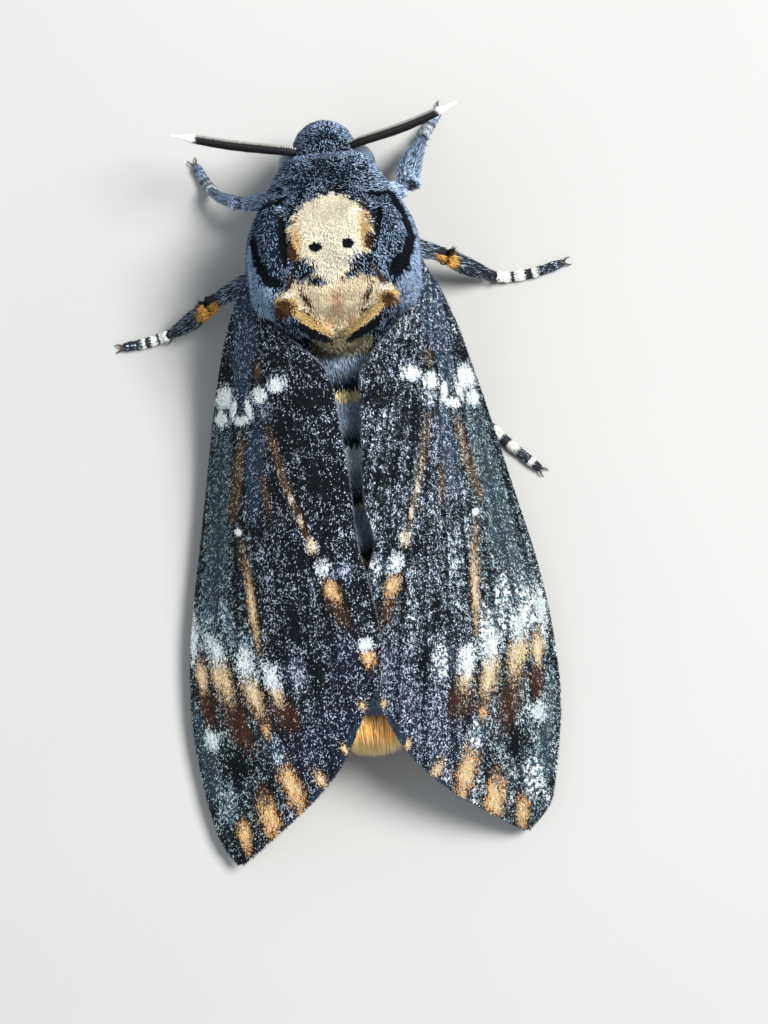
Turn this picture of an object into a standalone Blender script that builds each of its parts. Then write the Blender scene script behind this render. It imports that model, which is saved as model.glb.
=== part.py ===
"""A death's head hawkmoth at rest on the ground, life size, with its wings folded like a roof.

Metres, +Z up, head towards -Y. Sizes below are in millimetres, in the moth's own frame: x to its left,
y towards its tail from the middle of the skull mark, z above the ground. MM turns them into metres, and
the empty called specimen puts the origin under the middle of the whole moth.
"""

import math

import bmesh
import bpy
from mathutils import Matrix, Vector

MM = 0.001
GAP = 0.3  # between neighbouring solids
ORIGIN_X, ORIGIN_Y = -0.47, 22.76  # middle of the moth's bounding box, in its own frame
LEFT, RIGHT = 1, -1
SIDES = {"left": LEFT, "right": RIGHT}

# The trunk from the neck to the tail: pairs of (y, size), joined by smooth curves
NECK_Y, COLLAR_Y, WAIST_Y, TAIL_Y = -6.9, -3.4, 9.5, 45.6
HALF_WIDTH = (
    (-6.9, 4.5), (-5.4, 5.6), (-3.4, 6.9), (-1.0, 8.0), (2.5, 8.5), (6.0, 8.4), (9.5, 6.8),
    (13.0, 6.5), (18.0, 6.6), (25.0, 6.4), (34.0, 5.6), (41.0, 4.3), (45.6, 3.0),
)
TOP = (
    (-6.9, 11.8), (-5.4, 13.0), (-3.4, 14.4), (-1.0, 15.8), (2.5, 16.4), (6.0, 15.8), (9.5, 13.2),
    (13.0, 12.3), (18.0, 12.4), (25.0, 12.2), (34.0, 11.2), (41.0, 9.8), (45.6, 8.4),
)
UNDERSIDE = (
    (-6.9, 4.0), (-3.4, 2.9), (2.5, 2.4), (9.5, 2.6), (18.0, 2.2), (25.0, 2.1), (34.0, 2.5),
    (41.0, 3.2), (45.6, 4.0),
)
NECK_SLANT = 0.42  # the neck leans forwards by this much for each unit of height, and the collar less
NECK_REACH = 3.0  # the plane that parts the head from the neck is wider than the neck by this much
TRUNK_SIDES = 18
FULLNESS = 2.15  # exponent of the trunk's section, where 2 is an ellipse
SEGMENT_ENDS = (9.5, 14.0, 19.4, 24.8, 30.2, 35.5, 40.7, 45.6)  # seven rings of the abdomen
SEGMENT_SWELL = 0.18  # how far the middle of each ring stands out past its ends
TUFT_END_Y, TUFT_HALF_WIDTH, TUFT_TOP, TUFT_UNDERSIDE = 50.0, 2.7, 7.2, 5.6
TUFT_STEP, TUFT_BOW = 0.15, 0.7  # smaller than the last ring by this much, and longest in its middle
TUFT_ROWS, TUFT_SIDES = 5, 14

# The head, an egg with two round eyes, palps pressed to its front and a coiled tongue under them
EGG_SIDES, EGG_ROWS = 16, 9
HEAD_CENTRE, HEAD_RADII = Vector((0.0, -8.1, 8.0)), Vector((3.25, 3.6, 4.2))
EYE_CENTRE, EYE_RADIUS = Vector((2.8, -7.4, 7.6)), 2.03
PALP_PATH = ((1.1, -8.4, 3.3), (1.15, -9.8, 4.0), (1.05, -10.6, 5.6), (0.95, -10.9, 7.2))
PALP_RADII = (0.75, 0.95, 0.85, 0.5)
TONGUE_CENTRE, TONGUE_RADIUS, TONGUE_WIDTH = Vector((0.0, -9.0, 2.8)), 1.3, 0.9

# Feelers: from inside the head, out to the side and a little forward
FEELER_PATHS = {
    "left": ((2.0, -8.55, 9.6), (3.8, -8.85, 10.5), (9.0, -9.8, 11.0), (14.3, -11.15, 11.0)),
    "right": ((-2.0, -8.65, 9.6), (-3.6, -9.15, 10.5), (-8.0, -10.15, 11.0), (-12.9, -11.95, 11.0)),
}
FEELER_RADII = (0.36, 0.5, 0.54, 0.4)

# Lobes over the wing roots, and the V of orange fur behind the skull mark
TEGULA_CENTRE, TEGULA_RADII = Vector((6.0, 0.9, 13.75)), Vector((1.75, 5.2, 1.25))
TEGULA_LEAN, TEGULA_TURN = 38.0, -4.0  # degrees outwards, and towards the middle at the back
SCUTELLUM_PATH = (
    (5.0, 5.6, 14.3), (4.5, 6.6, 14.5), (2.5, 8.6, 14.55), (0.0, 10.0, 13.9),
    (-2.5, 8.6, 14.55), (-4.5, 6.6, 14.5), (-5.0, 5.6, 14.3),
)
SCUTELLUM_RADII = (0.9, 1.3, 0.95, 1.15, 0.95, 1.3, 0.9)
SCUTELLUM_RINGS, PALP_RINGS, FEELER_RINGS = 16, 6, 9

# Forewings: edges in plan, then the height of their upper side over the middle and at the front edge
WING_ROOT_Y = 2.9
FRONT_EDGE = {
    "left": (
        (2.9, 8.5), (5.0, 9.7), (9.0, 11.3), (14.2, 12.7), (20.0, 13.9), (25.5, 15.0), (31.0, 16.1),
        (37.0, 17.2), (42.0, 17.7), (46.4, 17.8), (51.3, 17.3), (55.5, 16.5), (58.2, 15.6), (59.4, 14.7),
    ),
    "right": (
        (2.9, 8.5), (5.0, 9.7), (9.0, 11.3), (14.2, 12.8), (20.0, 14.3), (25.5, 15.6), (31.0, 16.9),
        (37.0, 17.9), (42.0, 18.3), (46.4, 18.3), (51.3, 17.6), (55.0, 16.8), (57.2, 15.8), (58.4, 14.4),
    ),
}
BACK_EDGE = {
    "left": (
        (2.9, 8.2), (4.8, 7.9), (7.6, 6.3), (10.2, 3.7), (12.8, 1.55), (16.0, 1.0), (23.0, 0.35),
        (29.0, 0.15), (31.5, -0.35), (35.0, -0.95), (38.4, -1.3), (41.0, -0.95), (43.2, -0.35),
        (45.0, 0.75), (48.7, 2.6), (51.4, 4.5), (54.4, 7.6), (57.0, 10.9), (58.8, 13.0), (59.4, 13.9),
    ),
    "right": (
        (2.9, 8.2), (4.8, 7.9), (7.6, 6.3), (10.2, 3.7), (12.8, 1.7), (16.0, 1.4), (23.0, 1.0),
        (26.0, 1.0), (28.8, 1.6), (30.2, 1.35), (31.6, 0.7), (38.0, 0.4), (43.2, 0.55),
        (45.0, 0.9), (48.7, 2.6), (51.4, 4.6), (54.4, 7.9), (56.5, 10.8), (57.8, 12.7), (58.4, 13.5),
    ),
}
RIDGE = ((2.9, 14.2), (8.0, 14.7), (12.8, 15.0), (18.0, 15.1), (25.0, 14.8), (34.0, 13.5),
         (43.2, 11.7), (50.0, 9.7), (58.3, 7.4))
EAVES = ((2.9, 10.2), (5.0, 9.4), (9.0, 7.2), (14.2, 4.8), (20.0, 3.2), (25.5, 2.5), (37.0, 2.1),
         (50.0, 1.7), (58.3, 1.6))
ROOF_CURVE = 1.7  # 1 is a flat roof, and more is a rounder one
FOREWING_THICK, HINDWING_THICK, HINDWING_GAP = 0.55, 0.5, 0.35
WING_ROWS, WING_COLUMNS = 29, 8
OVERLAP_LIFT, OVERLAP_WIDTH = 1.05, 5.5  # the left wing rides over the right one between these stations
OVERLAP_FRONT_Y, OVERLAP_BACK_Y, OVERLAP_RISE = 28.0, 46.0, 6.0

# Hindwings, folded flat beneath the forewings
HINDWING_ROOT_Y, HINDWING_END_Y = 6.0, 41.0
HINDWING_OUTER = ((6.0, 7.6), (8.0, 8.8), (14.0, 10.2), (22.0, 11.8), (30.0, 12.8), (36.0, 12.2),
                  (39.5, 10.2), (41.0, 7.6))
HINDWING_INNER = ((6.0, 7.2), (10.0, 6.9), (14.0, 4.2), (22.0, 2.1), (31.0, 2.0), (37.0, 3.2),
                  (39.8, 5.4), (41.0, 7.2))
HINDWING_ROWS, HINDWING_COLUMNS = 18, 6

# Legs as shown, each a path of joints: root, knee, ankle, then along the foot to its end
FOOT_Z = 0.40
LEGS = {
    "front_left": {
        "femur": ((2.6, -4.8, 4.4), (5.4, -4.7, 4.8), (8.4, -4.6, 4.9)),
        "tibia": ((8.7, -4.8, 4.8), (10.1, -5.4, 3.8), (11.3, -6.3, 2.2)),
        "tarsus": ((11.3, -6.5, 1.9), (11.8, -7.2, 0.8), (12.3, -8.1, FOOT_Z), (12.8, -9.2, FOOT_Z)),
    },
    "front_right": {
        "femur": ((-2.6, -4.6, 4.4), (-5.1, -4.6, 5.2), (-7.5, -4.6, 5.3)),
        "tibia": ((-7.6, -5.0, 5.2), (-8.2, -7.3, 4.2), (-9.4, -9.5, 2.5)),
        "tarsus": ((-9.7, -9.9, 2.1), (-10.3, -10.9, 0.9), (-10.8, -11.7, FOOT_Z), (-11.5, -12.6, FOOT_Z)),
    },
    "middle_left": {
        "femur": ((4.2, 1.0, 3.6), (8.2, 2.8, 4.7), (12.2, 4.6, 4.6)),
        "tibia": ((12.6, 4.9, 4.4), (14.4, 6.1, 3.2), (16.4, 7.0, 1.6)),
        "tarsus": ((16.8, 7.1, 1.2), (17.9, 7.4, 0.55), (19.4, 7.7, FOOT_Z), (21.4, 7.9, FOOT_Z)),
    },
    "middle_right": {
        "femur": ((-4.0, 0.0, 3.6), (-7.1, 0.7, 4.9), (-10.4, 1.8, 5.0)),
        "tibia": ((-10.8, 2.0, 4.8), (-12.8, 3.1, 3.3), (-15.1, 4.0, 1.5)),
        "tarsus": ((-15.5, 4.1, 1.1), (-16.8, 4.3, 0.5), (-19.4, 4.1, FOOT_Z), (-22.3, 3.4, FOOT_Z)),
    },
    "hind_left": {
        "femur": ((3.4, 5.0, 3.3), (6.0, 7.2, 4.2), (8.4, 9.6, 4.6)),
        "tibia": ((8.7, 10.1, 4.5), (9.9, 14.0, 3.1), (10.6, 18.0, 1.5)),
        "tarsus": ((10.7, 18.6, 1.1), (11.0, 19.9, 0.5), (11.9, 22.6, FOOT_Z), (13.0, 25.2, FOOT_Z)),
    },
    "hind_right": {
        "femur": ((-3.4, 5.0, 3.3), (-6.2, 7.0, 4.2), (-8.7, 9.2, 4.6)),
        "tibia": ((-9.0, 9.7, 4.5), (-10.7, 13.2, 3.1), (-12.1, 16.7, 1.5)),
        "tarsus": ((-12.4, 17.2, 1.1), (-13.2, 18.2, 0.5), (-15.7, 20.8, FOOT_Z), (-18.3, 23.3, FOOT_Z)),
    },
}
FEMUR_RADII, TIBIA_RADII, TARSUS_RADII = (1.0, 1.2, 0.85), (0.95, 1.05, 0.65), (0.54, 0.52, 0.5, 0.42)
FORE_TIBIA_RADII = {"front_left": (0.85, 0.70, 0.60), "front_right": (1.35, 1.30, 0.70)}
LIMB_SIDES, FEMUR_RINGS, TIBIA_RINGS, FOOT_JOINTS = 8, 5, 5, 5
KNUCKLE_NECK = 0.86  # a foot's radius between two knuckles, against its radius on one
CLAW_LENGTH, CLAW_SPREAD, CLAW_THICK, CLAW_ROOT, CLAW_FORK = 0.9, 0.55, 0.5, 0.28, 0.4

COLOURS = {  # base colour, roughness
    "dark_fur": ((0.030, 0.035, 0.050), 0.85),
    "ochre_fur": ((0.55, 0.30, 0.08), 0.85),
    "abdomen_bands": ((0.45, 0.30, 0.08), 0.80),
    "eye": ((0.035, 0.040, 0.055), 0.25),
    "feeler": ((0.020, 0.020, 0.022), 0.55),
    "horn": ((0.060, 0.035, 0.022), 0.40),
    "leg_fur": ((0.060, 0.070, 0.095), 0.80),
    "forewing_scales": ((0.040, 0.040, 0.050), 0.75),
    "hindwing_scales": ((0.60, 0.38, 0.10), 0.75),
}


def clear_scene():
    for old in list(bpy.data.objects):
        bpy.data.objects.remove(old)


def make_materials():
    made = {}
    for name, (colour, roughness) in COLOURS.items():
        material = bpy.data.materials.new(name)
        material.use_nodes = True
        shader = material.node_tree.nodes["Principled BSDF"]
        shader.inputs["Base Color"].default_value = (*colour, 1.0)
        shader.inputs["Roughness"].default_value = roughness
        made[name] = material
    return made


def size_at(stations, y):
    """The size at y on a smooth curve through (y, size) pairs, level past its ends."""
    if y <= stations[0][0]:
        return stations[0][1]
    if y >= stations[-1][0]:
        return stations[-1][1]
    last = next(i for i, (at, _) in enumerate(stations) if at > y)
    before, after = max(last - 2, 0), min(last + 1, len(stations) - 1)
    (y0, s0), (y1, s1) = stations[last - 1], stations[last]
    slope0 = (s1 - stations[before][1]) / (y1 - stations[before][0])
    slope1 = (stations[after][1] - s0) / (stations[after][0] - y0)
    t, span = (y - y0) / (y1 - y0), y1 - y0
    return (
        s0 * (1 + 2 * t) * (1 - t) ** 2
        + s1 * t * t * (3 - 2 * t)
        + span * (slope0 * t * (1 - t) ** 2 - slope1 * t * t * (1 - t))
    )


def path_at(points, radii, t):
    """The point and radius at t, from 0 to 1, on a smooth curve through the points."""
    place = t * (len(points) - 1)
    stations = [[(i, p[axis]) for i, p in enumerate(points)] for axis in range(3)]
    radius = size_at(list(enumerate(radii)), t * (len(radii) - 1))
    return Vector([size_at(s, place) for s in stations]), radius


def loft(rings):
    """A closed mesh through rings of points that all have the same number of points, with flat ends."""
    bm = bmesh.new()
    rows = [[bm.verts.new(p) for p in ring] for ring in rings]
    for row, following in zip(rows, rows[1:]):
        for i in range(len(row)):
            bm.faces.new((row[i - 1], row[i], following[i], following[i - 1]))
    bm.faces.new(rows[0])
    bm.faces.new(rows[-1])
    bmesh.ops.recalc_face_normals(bm, faces=bm.faces)
    return bm


def limb(points, radii, rings, grow=0.0, knuckles=False):
    """A round tube along a smooth path, flattened by the ground. knuckles narrows every other ring."""
    made = []
    nearby = 0.1 / rings
    for n in range(rings + 1):
        t = n / rings
        centre, radius = path_at(points, radii, t)
        ahead, _ = path_at(points, radii, min(t + nearby, 1.0))
        behind, _ = path_at(points, radii, max(t - nearby, 0.0))
        along = (ahead - behind).normalized()
        across = along.cross(Vector((0, 0, 1))).normalized()
        up = across.cross(along)
        if knuckles and n % 2 == 0:
            radius *= KNUCKLE_NECK
        radius += grow
        ring = []
        for i in range(LIMB_SIDES):
            turn = 2 * math.pi * (i + 0.5) / LIMB_SIDES
            point = centre + radius * (across * math.cos(turn) + up * math.sin(turn))
            ring.append(Vector((point.x, point.y, max(point.z, 0.0))))
        made.append(ring)
    return loft(made)


def egg(centre, radii, grow=0.0):
    """A round solid with three radii."""
    bm = bmesh.new()
    bmesh.ops.create_uvsphere(bm, u_segments=EGG_SIDES, v_segments=EGG_ROWS, radius=1.0)
    for v in bm.verts:
        v.co = Vector([c * (r + grow) for c, r in zip(v.co, radii)]) + Vector(centre)
    return bm


def trunk(y_front, y_back, rows, swell=0.0, grow=0.0):
    """The trunk between two stations, which may bulge a little between them."""
    rings = []
    for n in range(rows + 1):
        y = y_front + (y_back - y_front) * n / rows
        bulge = swell * math.sin(math.pi * n / rows) + grow
        half = size_at(HALF_WIDTH, y) + bulge
        top, under = size_at(TOP, y) + bulge, size_at(UNDERSIDE, y) - bulge
        middle, tall = (top + under) / 2, (top - under) / 2
        slant = NECK_SLANT * max(COLLAR_Y - y, 0.0) / (COLLAR_Y - NECK_Y)
        ring = []
        for i in range(TRUNK_SIDES):
            turn = 2 * math.pi * i / TRUNK_SIDES
            across, up = math.cos(turn), math.sin(turn)
            x = half * math.copysign(abs(across) ** (2 / FULLNESS), across)
            z = middle + tall * math.copysign(abs(up) ** (2 / FULLNESS), up)
            ring.append(Vector((x, y - slant * (z - middle), z)))
        rings.append(ring)
    return loft(rings)


def tail_tuft():
    """The flat brush of hair that ends the abdomen."""
    rings = []
    start_half = size_at(HALF_WIDTH, TAIL_Y) - TUFT_STEP
    start_top, start_under = size_at(TOP, TAIL_Y) - TUFT_STEP, size_at(UNDERSIDE, TAIL_Y) + TUFT_STEP
    for n in range(TUFT_ROWS + 1):
        t = n / TUFT_ROWS
        half = start_half + (TUFT_HALF_WIDTH - start_half) * t
        top = start_top + (TUFT_TOP - start_top) * t
        under = start_under + (TUFT_UNDERSIDE - start_under) * t
        y = TAIL_Y + GAP + (TUFT_END_Y - TAIL_Y - GAP) * t
        ring = []
        for i in range(TUFT_SIDES):
            turn = 2 * math.pi * i / TUFT_SIDES
            x, z = half * math.cos(turn), (top + under) / 2 + (top - under) / 2 * math.sin(turn)
            bow = TUFT_BOW * t * math.cos(turn) ** 2
            ring.append(Vector((x, y - bow, z)))
        rings.append(ring)
    return loft(rings)


def ease(t):
    t = min(max(t, 0.0), 1.0)
    return t * t * (3 - 2 * t)


def roof_height(x, y, side_name):
    """The height of a forewing's upper side at y and at x towards its own side."""
    edge = size_at(FRONT_EDGE[side_name], y)
    ridge, eaves = size_at(RIDGE, y), size_at(EAVES, y)
    return ridge - (ridge - eaves) * (abs(x) / edge) ** ROOF_CURVE


def overlap_lift(x, y):
    """How far the left wing rises where it lies on the right one."""
    ends = min(y - OVERLAP_FRONT_Y, OVERLAP_BACK_Y - y) / OVERLAP_RISE
    return OVERLAP_LIFT * ease(ends) * ease(1.0 - x / OVERLAP_WIDTH)


def sheet(place, rows, columns, thick, mirror):
    """A curved sheet: place(t, s) gives its upper side, and thick is measured downwards."""
    bm = bmesh.new()
    grid = [[bm.verts.new(place(r / rows, c / columns)) for c in range(columns + 1)]
            for r in range(rows + 1)]
    for row, following in zip(grid, grid[1:]):
        for i in range(columns):
            bm.faces.new((row[i], row[i + 1], following[i + 1], following[i]))
    under = bmesh.ops.extrude_face_region(bm, geom=bm.faces[:], use_keep_orig=True)
    for item in under["geom"]:
        if isinstance(item, bmesh.types.BMVert):
            item.co.z -= thick
    bmesh.ops.transform(bm, matrix=Matrix.Scale(mirror, 4, (1, 0, 0)), verts=bm.verts)
    bmesh.ops.recalc_face_normals(bm, faces=bm.faces)
    return bm


def forewing(side_name, grow=0.0):
    front, back = FRONT_EDGE[side_name], BACK_EDGE[side_name]
    apex_y = front[-1][0]

    def place(t, s):
        y = WING_ROOT_Y - grow + (apex_y - WING_ROOT_Y + 2 * grow) * t
        x_inner, x_outer = size_at(back, y) - grow, size_at(front, y) + grow
        x = x_inner + (x_outer - x_inner) * s
        lift = overlap_lift(x, y) if side_name == "left" else 0.0
        return Vector((x, y, roof_height(x, y, side_name) + lift + grow))

    return sheet(place, WING_ROWS, WING_COLUMNS, FOREWING_THICK + 2 * grow, SIDES[side_name])


def hindwing(side_name, grow=0.0):
    def place(t, s):
        y = HINDWING_ROOT_Y - grow + (HINDWING_END_Y - HINDWING_ROOT_Y + 2 * grow) * t
        x_inner, x_outer = size_at(HINDWING_INNER, y) - grow, size_at(HINDWING_OUTER, y) + grow
        x = x_inner + (x_outer - x_inner) * s
        height = roof_height(x, y, side_name) - FOREWING_THICK - HINDWING_GAP
        return Vector((x, y, height + grow))

    return sheet(place, HINDWING_ROWS, HINDWING_COLUMNS, HINDWING_THICK + 2 * grow, SIDES[side_name])


def tegula(side_name, grow=0.0):
    side = SIDES[side_name]
    bm = egg((0, 0, 0), TEGULA_RADII, grow)
    lean = Matrix.Rotation(math.radians(TEGULA_LEAN * side), 4, "Y")
    turn = Matrix.Rotation(math.radians(TEGULA_TURN * side), 4, "Z")
    centre = Vector((TEGULA_CENTRE.x * side, TEGULA_CENTRE.y, TEGULA_CENTRE.z))
    bmesh.ops.transform(bm, matrix=Matrix.Translation(centre) @ turn @ lean, verts=bm.verts)
    return bm


def tongue(grow=0.0):
    """The coiled tongue, a thick disc on edge."""
    bm = bmesh.new()
    place = Matrix.Translation(TONGUE_CENTRE) @ Matrix.Rotation(math.pi / 2, 4, "Y")
    radius, width = TONGUE_RADIUS + grow, TONGUE_WIDTH + 2 * grow
    bmesh.ops.create_cone(
        bm, cap_ends=True, segments=16, radius1=radius, radius2=radius, depth=width, matrix=place
    )
    return bm


def claws(leg):
    """A pair of hooks at the end of a foot, as one V that lies flat on the ground."""
    points = LEGS[leg]["tarsus"]
    end, before = Vector(points[-1]), Vector(points[-2])
    along = Vector((end.x - before.x, end.y - before.y, 0)).normalized()
    across = Vector((-along.y, along.x, 0))
    outline = (
        (0.0, -CLAW_ROOT), (CLAW_LENGTH, -CLAW_SPREAD), (CLAW_FORK, 0.0),
        (CLAW_LENGTH, CLAW_SPREAD), (0.0, CLAW_ROOT),
    )
    start = Vector((end.x, end.y, 0)) + along * GAP
    rings = [
        [start + along * a + across * b + Vector((0, 0, z)) for a, b in outline]
        for z in (0.0, CLAW_THICK)
    ]
    return loft(rings)


def add(name, bm, material, parent, cutter=False):
    """An object from a mesh in moth millimetres, hung on the specimen's empty."""
    bm.transform(Matrix.Scale(MM, 4))
    mesh = bpy.data.meshes.new(name)
    bm.to_mesh(mesh)
    bm.free()
    obj = bpy.data.objects.new(name, mesh)
    bpy.context.scene.collection.objects.link(obj)
    obj.parent = parent
    if material:
        mesh.materials.append(material)
        mesh.shade_smooth()
        mesh.set_sharp_from_angle(angle=math.radians(50))
    if cutter:
        obj.hide_render = True
        obj.display_type = "WIRE"
    return obj


def cut(obj, *cutters):
    for cutter in cutters:
        modifier = obj.modifiers.new("cut_" + cutter.name, "BOOLEAN")
        modifier.operation = "DIFFERENCE"
        modifier.object = cutter


def main():
    clear_scene()
    paint = make_materials()
    specimen = bpy.data.objects.new("specimen", None)
    specimen.location = Vector((-ORIGIN_X, -ORIGIN_Y, 0)) * MM
    bpy.context.scene.collection.objects.link(specimen)

    def solid(name, bm, material):
        return add(name, bm, paint[material], specimen)

    def cutter(name, bm):
        return add(name, bm, None, specimen, cutter=True)

    head_space = cutter("head_space", egg(HEAD_CENTRE, HEAD_RADII, GAP))
    trunk_space = cutter("trunk_space", trunk(NECK_Y - GAP, WAIST_Y + GAP, 12, grow=GAP))
    neck_space = cutter("neck_space", trunk(NECK_Y - GAP, COLLAR_Y, 3, grow=NECK_REACH))
    tongue_space = cutter("tongue_space", tongue(GAP))

    head = solid("head", egg(HEAD_CENTRE, HEAD_RADII), "dark_fur")
    cut(head, neck_space)
    solid("collar", trunk(NECK_Y, COLLAR_Y - GAP / 2, 3), "dark_fur")
    thorax = solid("thorax", trunk(COLLAR_Y + GAP / 2, WAIST_Y - GAP / 2, 9), "dark_fur")

    crest = limb(SCUTELLUM_PATH, SCUTELLUM_RADII, SCUTELLUM_RINGS)
    crest_space = limb(SCUTELLUM_PATH, SCUTELLUM_RADII, SCUTELLUM_RINGS, GAP)
    scutellum = solid("scutellum", crest, "ochre_fur")
    scutellum_space = cutter("scutellum_space", crest_space)
    cut(thorax, scutellum_space)

    for number, (front, back) in enumerate(zip(SEGMENT_ENDS, SEGMENT_ENDS[1:]), start=1):
        bm = trunk(front + GAP / 2, back - GAP / 2, 3, swell=SEGMENT_SWELL)
        ring = solid(f"abdomen_{number}", bm, "abdomen_bands")
        if number == 1:
            cut(ring, scutellum_space)
    solid("tail_tuft", tail_tuft(), "ochre_fur")

    for side_name, side in SIDES.items():
        mirrored = Vector((side, 1, 1))
        eye_place = EYE_CENTRE * mirrored
        eye_space = cutter(f"eye_space_{side_name}", egg(eye_place, (EYE_RADIUS,) * 3, GAP))
        eye = solid(f"eye_{side_name}", egg(eye_place, (EYE_RADIUS,) * 3), "eye")
        cut(eye, neck_space)
        palp_path = [Vector(p) * mirrored for p in PALP_PATH]
        palp = solid(f"palp_{side_name}", limb(palp_path, PALP_RADII, PALP_RINGS), "dark_fur")
        cut(palp, head_space, tongue_space)
        bm = limb(FEELER_PATHS[side_name], FEELER_RADII, FEELER_RINGS)
        feeler = solid(f"antenna_{side_name}", bm, "feeler")
        cut(feeler, head_space)
        cut(head, eye_space)

        tegula_space = cutter(f"tegula_space_{side_name}", tegula(side_name, GAP))
        lobe = solid(f"tegula_{side_name}", tegula(side_name), "dark_fur")
        cut(lobe, scutellum_space)
        front_space = cutter(f"forewing_space_{side_name}", forewing(side_name, GAP))
        hind_space = cutter(f"hindwing_space_{side_name}", hindwing(side_name, GAP))
        solid(f"forewing_{side_name}", forewing(side_name), "forewing_scales")
        solid(f"hindwing_{side_name}", hindwing(side_name), "hindwing_scales")
        cut(thorax, tegula_space, front_space, hind_space)
        cut(lobe, front_space)
        cut(scutellum, front_space)

    cut(solid("proboscis", tongue(), "horn"), head_space)

    for leg, parts in LEGS.items():
        femur = (parts["femur"], FEMUR_RADII, FEMUR_RINGS)
        tibia = (parts["tibia"], FORE_TIBIA_RADII.get(leg, TIBIA_RADII), TIBIA_RINGS)
        foot = limb(parts["tarsus"], TARSUS_RADII, 2 * FOOT_JOINTS, knuckles=True)
        cut(solid(f"leg_{leg}_femur", limb(*femur), "leg_fur"), trunk_space)
        femur_space = cutter(f"femur_space_{leg}", limb(*femur, GAP))
        cut(solid(f"leg_{leg}_tibia", limb(*tibia), "leg_fur"), femur_space)
        tibia_space = cutter(f"tibia_space_{leg}", limb(*tibia, GAP))
        cut(solid(f"leg_{leg}_tarsus", foot, "leg_fur"), tibia_space)
        solid(f"claws_{leg}", claws(leg), "horn")


main()
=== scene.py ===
"""The looks of a death's head hawkmoth: skin, fur, wing scales, eyes, feelers and feet on its frame.

Shapes are worked out in millimetres from the middle of the skull mark: x to the moth's left, y towards
its tail, z above the ground. Each finished piece is turned into metres in the frame's own place.
"""

import math

import bmesh
import bpy
import numpy as np
from mathutils import Matrix, Vector, noise


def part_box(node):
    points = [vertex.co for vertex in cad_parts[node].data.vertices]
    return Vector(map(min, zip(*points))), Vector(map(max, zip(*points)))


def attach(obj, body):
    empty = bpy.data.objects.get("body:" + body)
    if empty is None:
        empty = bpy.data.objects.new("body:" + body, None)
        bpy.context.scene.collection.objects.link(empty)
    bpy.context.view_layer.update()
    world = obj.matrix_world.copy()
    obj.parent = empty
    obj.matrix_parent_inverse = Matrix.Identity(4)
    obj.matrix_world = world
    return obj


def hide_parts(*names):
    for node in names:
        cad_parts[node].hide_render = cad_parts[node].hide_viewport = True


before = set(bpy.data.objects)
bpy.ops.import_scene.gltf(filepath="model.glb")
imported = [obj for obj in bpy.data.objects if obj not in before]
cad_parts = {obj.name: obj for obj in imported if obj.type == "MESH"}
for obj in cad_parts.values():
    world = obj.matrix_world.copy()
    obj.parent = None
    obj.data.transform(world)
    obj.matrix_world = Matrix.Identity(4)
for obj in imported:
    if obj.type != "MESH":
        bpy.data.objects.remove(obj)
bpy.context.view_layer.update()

# The body: head, neck, chest and belly are soft flesh in a thin horny skin without a seam.
# One skin is drawn over copies of the solids and laid in by the depth of the fur that hides it.
# Its markings are those of the fur, told once as ovals and used for both.

MM = 0.001
SKULL_HOME = Vector((0.47, -22.76, 0.0))  # the middle of the skull mark on the frame
TRUNK = ["head", "collar", "thorax", "tegula_left", "tegula_right", "scutellum", "palp_left", "palp_right"]
BELLY = [f"abdomen_{number}" for number in range(1, 8)]
GAP_SWELL = 0.21  # how far each solid is swelled, so that the gaps of 0.3 between them shut
SKIN_MESH, SKIN_ROUNDS = 0.26, 6  # size of the skin's faces, and how often it is smoothed


def copied(*nodes):
    """Merged copies of CAD nodes in one bmesh, in moth millimetres."""
    whole = bmesh.new()
    for node in nodes:
        part = bmesh.new()
        part.from_mesh(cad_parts[node].data)
        bmesh.ops.remove_doubles(part, verts=part.verts, dist=1e-7)
        mesh = bpy.data.meshes.new(node + "_copy")
        part.to_mesh(mesh)
        part.free()
        whole.from_mesh(mesh)
        bpy.data.meshes.remove(mesh)
    whole.transform(Matrix.Translation(-SKULL_HOME) @ Matrix.Scale(1 / MM, 4))
    whole.normal_update()
    return whole


def changed(bm, **modifiers):
    """The mesh that a bmesh gives with some modifiers, each told as kind={setting: value}."""
    mesh = bpy.data.meshes.new("form")
    bm.to_mesh(mesh)
    bm.free()
    form = bpy.data.objects.new("form", mesh)
    bpy.context.scene.collection.objects.link(form)
    for kind, settings in modifiers.items():
        modifier = form.modifiers.new(kind, kind)
        for setting, value in settings.items():
            setattr(modifier, setting, value)
    made = bpy.data.meshes.new_from_object(form.evaluated_get(bpy.context.evaluated_depsgraph_get()))
    bpy.data.objects.remove(form)
    bpy.data.meshes.remove(mesh)
    return made


def outline_of(nodes, size, rounds):
    """The outside of neighbouring solids as one smooth closed mesh, with the gaps between them shut."""
    bm = copied(*nodes)
    for vertex in bm.verts:
        vertex.co += vertex.normal * GAP_SWELL
    return changed(
        bm,
        REMESH={"mode": "VOXEL", "voxel_size": size},
        SMOOTH={"factor": 0.5, "iterations": rounds},
    )


def numbers_of(mesh):
    """A mesh's points and normals as arrays."""
    points, normals = np.empty((2, len(mesh.vertices) * 3), dtype=np.float32)
    mesh.vertices.foreach_get("co", points)
    mesh.vertex_normals.foreach_get("vector", normals)
    return points.reshape(-1, 3), normals.reshape(-1, 3)


def on_moth(corner):
    """A place on the frame, in moth millimetres."""
    return np.array(corner) / MM - np.array(SKULL_HOME)


def placed(name, mesh, slot, *replaced):
    """A piece of the moth from a finished mesh, and the nodes that it stands for."""
    mesh.name = name
    mesh.shade_smooth()
    made = bpy.data.objects.new(name, mesh)
    bpy.context.scene.collection.objects.link(made)
    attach(made, "root")
    if replaced:
        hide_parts(*replaced)
    return made


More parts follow.
